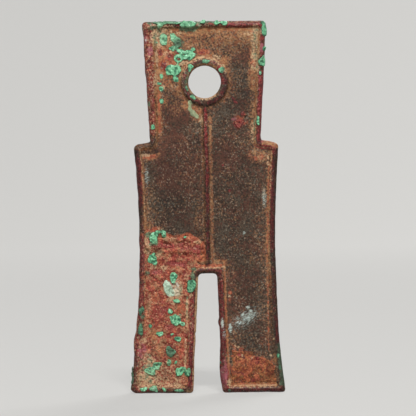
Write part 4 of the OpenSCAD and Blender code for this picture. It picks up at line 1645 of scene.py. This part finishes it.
class Zones:
    """Strengths, at a mesh's points, of the parts of the coin that its stains follow."""

    RIM_CREST: Ramp = (0.9, 0.6)
    RIM_FOOT = 0.95
    RIM_FOOT_HALF = 0.14
    HALO = (0.8, 1.0, 0.7)
    COLLAR_CREST = 0.78
    COLLAR_SLOPE = 1.15
    COLLAR_HALF = 0.32
    COLLAR_RING = (1.0, 1.25, 0.9)
    BORE_EDGE: Ramp = (0.5, 0.3)
    BORE_LIT_X: Ramp = (2.4, 1.6)
    LIT_FROM = (-0.15, 0.95)
    RIDGE_MIDDLE = 0.08
    RIDGE_HALF = 0.25
    FLANK_MIDDLE = -0.34
    FLANK_HALF = 0.1

    def __init__(self, relief: Relief, points: Array) -> None:
        """Work them out.

        Args:
            relief: The coin's maps.
            points: The mesh's points.
        """
        hole = relief.hole
        self.x, self.z = x, z = points[:, 0], points[:, 2]
        self.inset = inset = relief.plan.pick(relief.inset, x, z)
        self.head, self.top, self.scabby, self.eaten, self.gap_left, self.gap_right = (
            region.weight(x, z) for region in (HEAD, HEAD_TOP, SCABBY_RIM, EATEN_RIM, GAP_LEFT, GAP_RIGHT)
        )
        self.crotch, self.sole, self.outer_leg = (r.weight(x, z) for r in (CROTCH, SOLES, OUTER_LEG))
        self.shoulder = SHOULDERS.weight(np.abs(x), z)
        self.crusted = np.maximum(self.eaten, self.scabby)
        plain = (1.0 - self.shoulder) * (1.0 - 0.5 * self.crusted) * (1.0 - self.gap_left)
        self.crest = ease(inset, *self.RIM_CREST) * plain
        bare = (1.0 - self.top) * (1.0 - self.scabby) * (1.0 - 0.75 * self.outer_leg)
        self.foot = band(inset, self.RIM_FOOT, self.RIM_FOOT_HALF) * bare
        self.halo = trail(inset, *self.HALO)
        lip = hole.away(x, z) - hole.radius
        # How far round the hole each point lies toward the light, for the painted light and shade on the
        # collar.
        lit = (x - hole.x) * self.LIT_FROM[0] + (z - hole.z) * self.LIT_FROM[1]
        self.toward_light = 0.5 + 0.5 * lit / (lip + hole.radius)
        self.collar = band(lip, self.COLLAR_CREST, self.COLLAR_HALF)
        self.slope = band(lip, self.COLLAR_SLOPE, self.COLLAR_HALF)
        self.ring = trail(lip, *self.COLLAR_RING)
        self.bore_edge = ease(lip, *self.BORE_EDGE) * ease(x, *self.BORE_LIT_X)
        middle = x - self.RIDGE_MIDDLE - relief.lean(z)
        ridge = RIDGE.weight(x, z)
        self.spine = band(middle, 0.0, self.RIDGE_HALF) * ridge
        self.flank = band(middle, self.FLANK_MIDDLE, self.FLANK_HALF) * ridge

    def wine(self) -> Array:
        """Stain the crests of the rims, the ridge and the collar dark red.

        Returns:
            The stain's strength at each point.
        """
        return np.maximum.reduce([
            (0.38 + 0.14 * self.head) * self.crest * (1.0 - 0.4 * self.crotch),
            0.7 * self.scabby * ease(self.inset, 1.7, 1.3),
            0.7 * self.eaten * ease(self.inset, 1.4, 0.9),
            0.62 * self.gap_left * band(self.inset, 0.75, 0.3),
            0.7 * self.gap_right * ease(self.inset, 1.0, 0.8),
            (0.45 + 0.2 * ease(self.x, 0.0, 1.4)) * self.collar,
            (0.58 + 0.3 * ease(self.z, 28.0, 34.0)) * self.spine,
        ])

    def tan(self) -> Array:
        """Stain the ground along the rims and round the collar light brown, with painted light among it.

        Returns:
            The stain's strength at each point.
        """
        dry = 1.0 - 0.7 * self.gap_right
        return np.maximum.reduce([
            # Partly tan soil inside the rims, partly painted light where the field meets them.
            (0.55 + 0.3 * self.head) * self.halo * dry * (1.0 - 0.6 * self.outer_leg),
            # Tan ring round the collar, lighter from painted light on its side toward the light.
            (0.55 + 0.45 * self.toward_light) * self.ring,
            0.5 * self.bore_edge,
            0.7 * self.foot * dry * (1.0 - self.gap_left),
            (0.25 + 0.55 * ease(self.x, -1.0, 1.0)) * self.shoulder,
            0.1 * self.eaten,
            # Painted highlight along the left leg's edge at the slot.
            0.85 * self.gap_left * ease(self.inset, 0.45, 0.25),
            0.45 * self.crotch * self.crest,
            0.2 * self.sole,
        ])

    def soot(self, dirt: Array) -> Array:
        """Darken the rims and fields, and paint shade on the sides of the relief that face away from the
        light and in the hollows.

        Args:
            dirt: How much painted shade lies in the hollows.

        Returns:
            The strength of the grime and painted shade at each point.
        """
        clean = (1.0 - self.head) * (1.0 - self.crusted) * (1.0 - 0.8 * self.crotch)
        dim = clean * (1.0 - 0.6 * self.sole) * (1.0 - 0.5 * self.gap_right)
        return np.maximum.reduce([
            # Darker rims towards the outline: partly dark patina, partly painted shade on the bevels that
            # face sideways.
            1.1 * self.crest * dim,
            self.spine * ease(self.z, 36.0, 30.0),
            1.3 * self.collar * ease(self.x, -0.5, 1.0) * ease(self.z, 50.6, 49.4),
            0.2 * self.shoulder * ease(self.x, 1.0, -1.0),
            # Painted shadow just under the top rim.
            0.6 * self.top * band(self.inset, 1.0, 0.12),
            0.5 * ease(self.inset, 1.5, 4.5) * (1.0 - self.head),
            # Painted shade on the collar's outer slope, on the side away from the light.
            (1.1 - 1.1 * self.toward_light) * self.slope,
            # Painted shade on the ridge's left flank.
            0.8 * self.flank,
            # Painted shade on the crotch rim's edge, which faces down.
            self.crotch * ease(self.inset, 0.8, 0.55),
            0.7 * self.eaten * ease(self.inset, 0.6, 0.3) * ease(self.z, 14.0, 17.0),
            # Painted shade in the hollows.
            dirt,
        ])

    def cream(self) -> Array:
        """Dust the feet of the rims, and paint highlights on the lit side of the collar, on the bore's
        lower lip and along the left leg's slot edge.

        Returns:
            The stain's strength at each point.
        """
        return np.maximum.reduce([
            0.4 * self.foot * (1.0 - self.gap_right) * (1.0 - self.gap_left),
            0.3 * self.scabby * ease(self.inset, 1.8, 1.4),
            (0.3 - 0.15 * ease(self.z, 13.0, 15.0)) * self.eaten * ease(self.inset, 1.6, 1.0),
            # Painted highlight on the lower side of the bore's lip, where its wall faces up to the light.
            (0.6 - 0.6 * self.toward_light) * self.bore_edge,
            # Painted highlight on the collar's outer slope toward the light.
            0.5 * self.toward_light * self.slope,
            # Painted highlight along the left leg's edge at the slot.
            (0.6 + 0.2 * ease(self.z, 7.0, 11.0)) * self.gap_left * ease(self.inset, 0.36, 0.2),
            0.2 * self.sole,
        ])

    def rust(self) -> Array:
        """Stain the crusted rims orange."""
        return (0.5 * self.eaten + 0.62 * self.scabby) * ease(self.inset, 1.7, 1.2)


@dataclass
class Casting:
    """The bronze coin itself: rims, middle ridge, collared hole and pitted skin."""

    hole: Hole
    step: float = 0.155
    wear: float = 0.09
    blade_wear: float = 0.2
    dimple: float = 0.016
    dimple_size: float = 0.5
    even_edge: float = 0.5
    rim_crust: float = 0.34
    rim_crust_inset: Ramp = (0.5, 1.0)
    back_rough: float = 0.35
    scab: float = 0.13
    scab_size: float = 1.0
    # Strength, reach and depth of the painted shade in the hollows of the front's rough zones.
    dirt: float = 0.8
    hollow_shade_reach: float = 0.3
    hollow_shade_depth: float = 0.1
    wobble: float = 0.05
    wobble_size: float = 2.2
    lip_round: float = 0.3
    chip: float = 0.025
    chip_size: float = 0.8
    pits: int = 420
    pit_radius: tuple[float, float] = (0.12, 0.34)
    pit_depth: tuple[float, float] = (0.03, 0.11)
    pit_inset: float = 0.25
    pit_chance: float = 0.12
    seed: int = 7
    outline_seed: int = 9
    chip_seed: int = 10
    pit_seed: int = 47

    def weather(self, relief: Relief) -> None:
        """Wear, roughen and pit the two faces.

        Args:
            relief: The coin's maps, which are changed.
        """
        x, z = relief.x, relief.z
        zone = strongest(ROUGH_ZONES, x, z)
        blade = BLADE_FIELDS.weight(np.abs(x - relief.lean(z)), z)
        inner = ease(relief.inset, 0.0, self.even_edge)
        crusts = strongest(CRUSTED_RIMS, x, z) * ease(relief.inset, *self.rim_crust_inset)
        radii = (self.wear / relief.plan.step, self.blade_wear / relief.plan.step)
        for number, name in enumerate(("front", "back")):
            grain = Grain(self.seed + number)
            crisp, worn = (soften(getattr(relief, name), radius) for radius in radii)
            face = crisp + (worn - crisp) * blade
            rough = np.full_like(zone, self.back_rough)
            if name == "front":
                rough = zone
                face = face + self.rim_crust * crusts
            face = face + self.dimple * grain.rough(x, Sheet.BASE, z, self.dimple_size, 2) * inner
            face = face + rough * self.scab * knobs(grain.rough(x, Sheet.KNOBS, z, self.scab_size, 2))
            setattr(relief, name, face - self._pits(relief, rough, self.pit_seed + number))
        outline = Grain(self.outline_seed).rough(x, Sheet.BASE, z, self.wobble_size, 3)
        wander = outline * self.wobble * (0.5 + zone)
        swell = strongest(OUTLINE_SWELLINGS, x, z) - strongest(OUTLINE_LOSSES, x, z)
        relief.inset = relief.inset + wander + swell

    def _pits(self, relief: Relief, rough: Array, seed: int) -> Array:
        """Scatter corrosion pits, more of them where the skin is rough.

        Args:
            relief: The coin's maps.
            rough: How rough the skin is.
            seed: The scatter's seed.

        Returns:
            The pits' depth over the face.
        """
        rng = np.random.default_rng(seed)
        depth = np.zeros(relief.x.shape)
        low, high = np.array(relief.plan.low), np.array(relief.plan.high)
        made = 0
        while made < self.pits:
            x, z = rng.uniform(low, high)
            here = relief.plan.pick(rough, np.array(x), np.array(z))
            inset = relief.plan.pick(relief.inset, np.array(x), np.array(z))
            if inset < self.pit_inset or rng.uniform() > self.pit_chance + here:
                continue
            radius, deep = rng.uniform(*self.pit_radius), rng.uniform(*self.pit_depth)
            reach = 3.0 * radius
            part = relief.plan.window((x - reach, z - reach), (x + reach, z + reach))
            square = (relief.x[part] - x) ** 2 + (relief.z[part] - z) ** 2
            depth[part] = np.maximum(depth[part], deep * np.exp(-square / radius**2))
            made += 1
        return depth

    def build(self, relief: Relief) -> bpy.types.Object:
        """Mesh the weathered coin.

        Args:
            relief: The coin's maps.

        Returns:
            The casting, with its stains.
        """
        low, high = (np.array(corner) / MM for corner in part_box(CASTING))
        margin = 3.0 * self.step
        axes = [np.arange(a - margin, b + margin, self.step) for a, b in zip(low, high)]
        x, y, z = axes
        values = relief.gap(x, y, z)
        across, up = np.meshgrid(x, z, indexing="ij")
        bore = (self.hole.radius - self.hole.away(across, up))[:, None, :] + 0.0 * y[None, :, None]
        values = round_max(values, bore, self.lip_round)
        level = z[None, None, :]
        grain = Grain(self.chip_seed)
        chips = grain.rough(x[:, None, None], y[None, :, None], level, self.chip_size, 2)
        values = values + self.chip * chips
        values = np.maximum(values, low[2] - level)
        skin = Skin(values, [axis[0] for axis in axes], self.step)
        stains = stain_values(skin.points, self._relief_stains(relief, skin.points))
        return skin.piece("spade_casting", stains)

    def _relief_stains(self, relief: Relief, points: Array) -> dict[Stain, Array]:
        """Work out the stains and painted light that follow the rims, the ridge, the collar and the
        hollows.

        Args:
            relief: The coin's maps.
            points: The mesh's points.

        Returns:
            Each such stain's strength at each point.
        """
        zones = Zones(relief, points)
        # Painted shade in the hollows of the front's rough zones.
        low = hollows(relief.front, self.hollow_shade_reach / relief.plan.step, self.hollow_shade_depth)
        dirt = relief.plan.pick(low * strongest(ROUGH_ZONES, relief.x, relief.z), zones.x, zones.z)
        return {
            Stain.WINE: zones.wine(),
            Stain.TAN: zones.tan(),
            Stain.SOOT: zones.soot(self.dirt * dirt * (points[:, 1] < 0.0)),
            Stain.CREAM: zones.cream(),
            Stain.RUST: zones.rust(),
        }


@dataclass
class Crust:
    """One mineral crust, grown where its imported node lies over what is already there."""

    node: str
    slot: str
    seed: int
    bury: float = 0.16
    root: float = 0.1
    margin: float = 0.9
    overlap: float = 2.4
    sunk: float = 0.08
    fold: float = 0.2
    # Strength, reach and depth of the painted shade in the crust's hollows and along its low border.
    dirt: float = 0.4
    hollow_shade_reach: float = 0.28
    hollow_shade_depth: float = 0.12
    wrap: float = 1.1
    wrap_fall: float = 0.3
    wrap_stray: float = 0.35
    wrap_size: float = 0.7
    grown_from: float = 0.16
    core_from: Ramp = (0.25, 0.8)
    least_rise: float = 0.06
    least_top: float = 0.02
    usual_rise: int = 70
    breaks_from: Ramp = (-0.15, 0.25)
    grit_size: float = 0.7
    lip_width: float = 0.45
    lip_within: Ramp = (0.97, 0.7)
    lip_below_top: Ramp = (4.4, 3.0)
    hollow_size: float = 0.7
    hollow_from: Ramp = (0.45, 0.8)
    lump_limits: tuple[float, float] = (0.3, 1.5)

    def build(self, relief: Relief) -> bpy.types.Object:
        """Grow and mesh the crust, and raise the ground by it.

        Args:
            relief: The coin's maps, whose front is raised.

        Returns:
            The crust, with the values that its finish reads.
        """
        plan = relief.plan
        habit = NODE_HABITS.get(self.node, HABITS[self.slot])
        low, high = (np.array(corner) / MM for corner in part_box(self.node))
        over = self.overlap if self.node in CARRIED_UNDER else 0.0
        part = plan.window((low - self.margin)[[0, 2]], (high + self.margin + over)[[0, 2]])
        x, z = relief.x[part], relief.z[part]
        grain = Grain(self.seed)
        rise, there = self._cover(habit, grain, relief, part, high[2] + over)
        if habit.grow:
            there = soften(there.astype(float), habit.grow / plan.step) > self.grown_from
        core = ease(soften(there.astype(float), habit.border / plan.step), *self.core_from)
        rise = max(rise, self.least_rise)
        bare = self.bury / (self.bury + rise)
        shown = np.clip((core - bare) / (1.0 - bare), 0.0, 1.0)
        if self.node in FEATHERED_LOW:
            core = core * ease(z, low[2], low[2] + FEATHERED_LOW[self.node])
        core = core * (1.0 - habit.broken * ease(self._breaks(habit, grain, x, z), *self.breaks_from))
        lumps = self._lumps(habit, grain, x, z)
        top = rise * lumps + habit.rough * grain.rough(x, Sheet.GRIT, z, self.grit_size, 3)
        if self.node in RAISED_LIP:
            wide = soften(there.astype(float), self.lip_width / plan.step)
            lip = ease(wide, *self.lip_within) * ease(high[2] - z, *self.lip_below_top)
            top = top + RAISED_LIP[self.node] * lip
        if self.slot == "cuprite":
            top = top - self.sunk * strongest(FRONT_STAINS[Stain.WINE], x, z)
            top = top + self.fold * strongest(RAISED_FOLDS.get(self.node, ()), x, z)
        thick = -self.bury + (self.bury + np.maximum(top, self.least_top)) * core
        skin = self._skin(relief, part, thick, high[1], grain)
        relief.front[part] = relief.front[part] + np.maximum(thick, 0.0)
        # Painted shade in the crust's hollows and along its low border.
        dirt = self.dirt * hollows(relief.front[part], self.hollow_shade_reach / plan.step, self.hollow_shade_depth) * shown
        values = {}
        for name, numbers in (("core", shown), ("lift", lumps * core), ("dirt", dirt)):
            whole = np.zeros(relief.x.shape)
            whole[part] = numbers
            values[name] = plan.pick(whole, skin.points[:, 0], skin.points[:, 2])
        values |= stain_values(skin.points, {Stain.SOOT: values.pop("dirt")})
        return skin.piece(self.node.replace("_", "-") + "-crust", values)

    def _cover(
        self, habit: Habit, grain: Grain, relief: Relief, part: tuple[slice, slice], top: float
    ) -> tuple[float, Array]:
        """Find where the crust lies, with its border led astray.

        Args:
            habit: How it grows.
            grain: Its noise.
            relief: The coin's maps.
            part: The part of the maps that it takes.
            top: How high up the coin it may be carried on under a neighbour.

        Returns:
            How far it rises over the ground, and which grid points it covers.
        """
        x, z = relief.x[part], relief.z[part]
        across = x + habit.stray * grain.rough(x, Sheet.STRAY_ACROSS, z, habit.stray_size, 3)
        up = z + habit.stray * grain.rough(x, Sheet.STRAY_UP, z, habit.stray_size, 3)
        reach = CadShape(self.node).reach(across, up, -1)
        there = ~np.isnan(reach)
        over = np.where(there, reach - relief.front[part], np.nan)
        rise = np.nanpercentile(over, self.usual_rise)
        if self.node in CARRIED_UNDER:
            neighbour = CadShape(CARRIED_UNDER[self.node]).reach(across, up, -1)
            there = there | (~np.isnan(neighbour) & (z < top))
        there = there | (strongest(SPREADS.get(self.node, ()), x, z) > 0.5)
        return rise, there & (strongest(BITES.get(self.node, ()), x, z) < 0.5)

    @staticmethod
    def _breaks(habit: Habit, grain: Grain, x: Array, z: Array) -> Array:
        """Give noise that is high where the crust is gone, in streaks if it was wiped on."""
        along, across = turned(x, z, habit.streak_turn)
        return grain.rough(along / habit.streak_long, Sheet.BREAKS, across, habit.break_size, 2)

    def _lumps(self, habit: Habit, grain: Grain, x: Array, z: Array) -> Array:
        """Shape the crust's top.

        Args:
            habit: How it grows.
            grain: Its noise.
            x, z: Where its top is wanted.

        Returns:
            Its thickness, as a share of its usual one.
        """
        bumps = grain.rough(x, Sheet.LUMPS, z, habit.lump_size, 3)
        if habit.ridged:
            bumps = ridges(bumps)
        elif habit.knobbly:
            bumps = knobs(bumps)
        hollow = ease(grain.rough(x, Sheet.HOLLOWS, z, self.hollow_size, 2), *self.hollow_from)
        lumps = 1.0 + habit.lump * bumps - habit.pitted * hollow
        return habit.height * np.clip(lumps, *self.lump_limits)

    def _skin(
        self, relief: Relief, part: tuple[slice, slice], thick: Array, back: float, grain: Grain
    ) -> Skin:
        """Mesh the crust between its root in the metal and its top.

        Args:
            relief: The coin's maps.
            part: The part of the maps that the crust takes.
            thick: Its thickness there.
            back: How far behind the middle plane it may reach round the edge, where it thins out.
            grain: Its noise.

        Returns:
            The crust's skin.
        """
        step = relief.plan.step
        x, z = relief.x[part][:, 0], relief.z[part][0]
        top = float((relief.front[part] + thick).max())
        rear = back if back > 0.0 else self.root - float(relief.front[part].min())
        y = np.arange(-top - 3.0 * step, rear + 3.0 * step, step)
        gap = relief.gap(x, y, z, front_only=True)
        level = y[None, :, None]
        depth = thick[:, None, :]
        if back > 0.0:
            rough = grain.rough(relief.x[part], Sheet.WRAP, relief.z[part], self.wrap_size, 2)
            past = level + self.wrap_stray * rough[:, None, :] - rear + self.wrap
            depth = depth - self.wrap_fall * np.maximum(past, 0.0)
        values = np.maximum(gap - depth, -gap - self.root)
        values = np.maximum(values, level - rear)
        values = np.maximum(values, -z[None, None, :])
        return Skin(values, (x[0], y[0], z[0]), step)


@dataclass(frozen=True)
class Lamp:
    """Soft square lamp that faces the coin: its place, its side and its power in watts."""

    name: str
    place: tuple[float, float, float]
    size: float
    power: float


LAMPS = (
    Lamp("key_lamp", (60.0, -800.0, 820.0), 200.0, 12.2),
    Lamp("fill_lamp", (-350.0, -1100.0, 200.0), 700.0, 1.2),
    Lamp("back_lamp", (700.0, 1900.0, 1500.0), 900.0, 40.0),
)


@dataclass
class Studio:
    """Pale round floor, soft lamps and the camera in front of the coin."""

    aim: tuple[float, float] = (0.314, 28.84)
    distance: float = 420.0
    frame_span: float = 65.03
    roll: float = 0.62
    sensor: float = 36.0
    floor_radius: float = 1600.0
    floor_curve: float = 700.0
    floor_wall: float = 900.0
    curve_steps: int = 12
    sides: int = 96
    sky: float = 0.12
    sky_colour: Colour = tint(246, 248, 255)
    near: float = 10.0

    def floor(self) -> bpy.types.Object:
        """Turn the floor's profile into a round sweep that curves up into its wall.

        Returns:
            The floor.
        """
        profile = [(0.5 * self.floor_radius, 0.0), (self.floor_radius, 0.0)]
        for number in range(1, self.curve_steps + 1):
            angle = 0.5 * math.pi * number / self.curve_steps
            out, up = self.floor_curve * math.sin(angle), self.floor_curve * (1.0 - math.cos(angle))
            profile.append((self.floor_radius + out, up))
        profile.append((self.floor_radius + self.floor_curve, self.floor_curve + self.floor_wall))
        points, faces = [(0.0, 0.0, 0.0)], []
        for radius, height in profile:
            for side in range(self.sides):
                turn = 2.0 * math.pi * side / self.sides
                points.append((radius * math.cos(turn) * MM, radius * math.sin(turn) * MM, height * MM))
        for side in range(self.sides):
            after = (side + 1) % self.sides
            faces.append((0, 1 + side, 1 + after))
            for ring in range(len(profile) - 1):
                a, b = 1 + ring * self.sides, 1 + (ring + 1) * self.sides
                faces.append((a + side, b + side, b + after, a + after))
        mesh = bpy.data.meshes.new("studio_floor")
        mesh.from_pydata(points, [], faces)
        mesh.shade_smooth()
        mesh.materials.append(Paper().material())
        floor = bpy.data.objects.new("studio_floor", mesh)
        bpy.context.scene.collection.objects.link(floor)
        return floor

    def hang(self, lamp: Lamp) -> None:
        """Hang a lamp.

        Args:
            lamp: The lamp.
        """
        light = bpy.data.lights.new(lamp.name, "AREA")
        light.size = lamp.size * MM
        light.energy = lamp.power
        hung = bpy.data.objects.new(lamp.name, light)
        hung.location = Vector(lamp.place) * MM
        aim = Vector((self.aim[0], 0.0, self.aim[1])) * MM - hung.location
        hung.rotation_euler = aim.to_track_quat("-Z", "Y").to_euler()
        bpy.context.scene.collection.objects.link(hung)

    def stand_camera(self) -> None:
        """Stand the camera in front, turned as the photo's frame is."""
        lens = bpy.data.cameras.new("front_camera")
        lens.sensor_width = self.sensor
        lens.lens = self.sensor * self.distance / self.frame_span
        lens.clip_start = self.near * MM
        camera = bpy.data.objects.new("front_camera", lens)
        camera.location = Vector((self.aim[0], -self.distance, self.aim[1])) * MM
        camera.rotation_euler = (math.radians(90.0), math.radians(self.roll), 0.0)
        bpy.context.scene.collection.objects.link(camera)
        bpy.context.scene.camera = camera

    def build(self) -> None:
        """Set up the floor, the lamps, the sky and the camera."""
        self.floor()
        for lamp in LAMPS:
            self.hang(lamp)
        world = bpy.data.worlds.new("soft_sky")
        world.use_nodes = True
        sky = world.node_tree.nodes["Background"]
        sky.inputs["Color"].default_value = self.sky_colour
        sky.inputs["Strength"].default_value = self.sky
        bpy.context.scene.world = world
        bpy.context.scene.view_settings.view_transform = "Standard"
        self.stand_camera()


def settle(piece: bpy.types.Object, node: str, slot: str, wardrobe: Wardrobe) -> None:
    """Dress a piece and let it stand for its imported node.

    Args:
        piece: The piece.
        node: The node that it stands for.
        slot: The material slot of its finish.
        wardrobe: The finishes.
    """
    wardrobe.dress(piece, node, slot)
    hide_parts(node)
    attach(piece, BODY)
    LOG.info("%s: %d points, %d faces", piece.name, len(piece.data.vertices), len(piece.data.polygons))


def main() -> None:
    """Build the coin, its crusts and the studio."""
    logging.basicConfig(level=logging.INFO, format="%(name)s: %(message)s")
    slots = {part["node"]: part["material_slot"] for part in frame["record"]["subparts"]}
    wardrobe = Wardrobe()
    hole = Hole.from_record()
    relief = Relief(CASTING, hole, MAP_STEP)
    casting = Casting(hole)
    casting.weather(relief)
    settle(casting.build(relief), CASTING, slots[CASTING], wardrobe)
    order = {slot: number for number, slot in enumerate(GROWN_IN_ORDER)}
    crusts = sorted((order[slot], node) for node, slot in slots.items() if node != CASTING)
    for seed, (_, node) in enumerate(crusts, CRUST_SEED):
        crust = Crust(node, slots[node], seed)
        settle(crust.build(relief), node, slots[node], wardrobe)
    Studio().build()


if __name__ == "__main__":
    main()
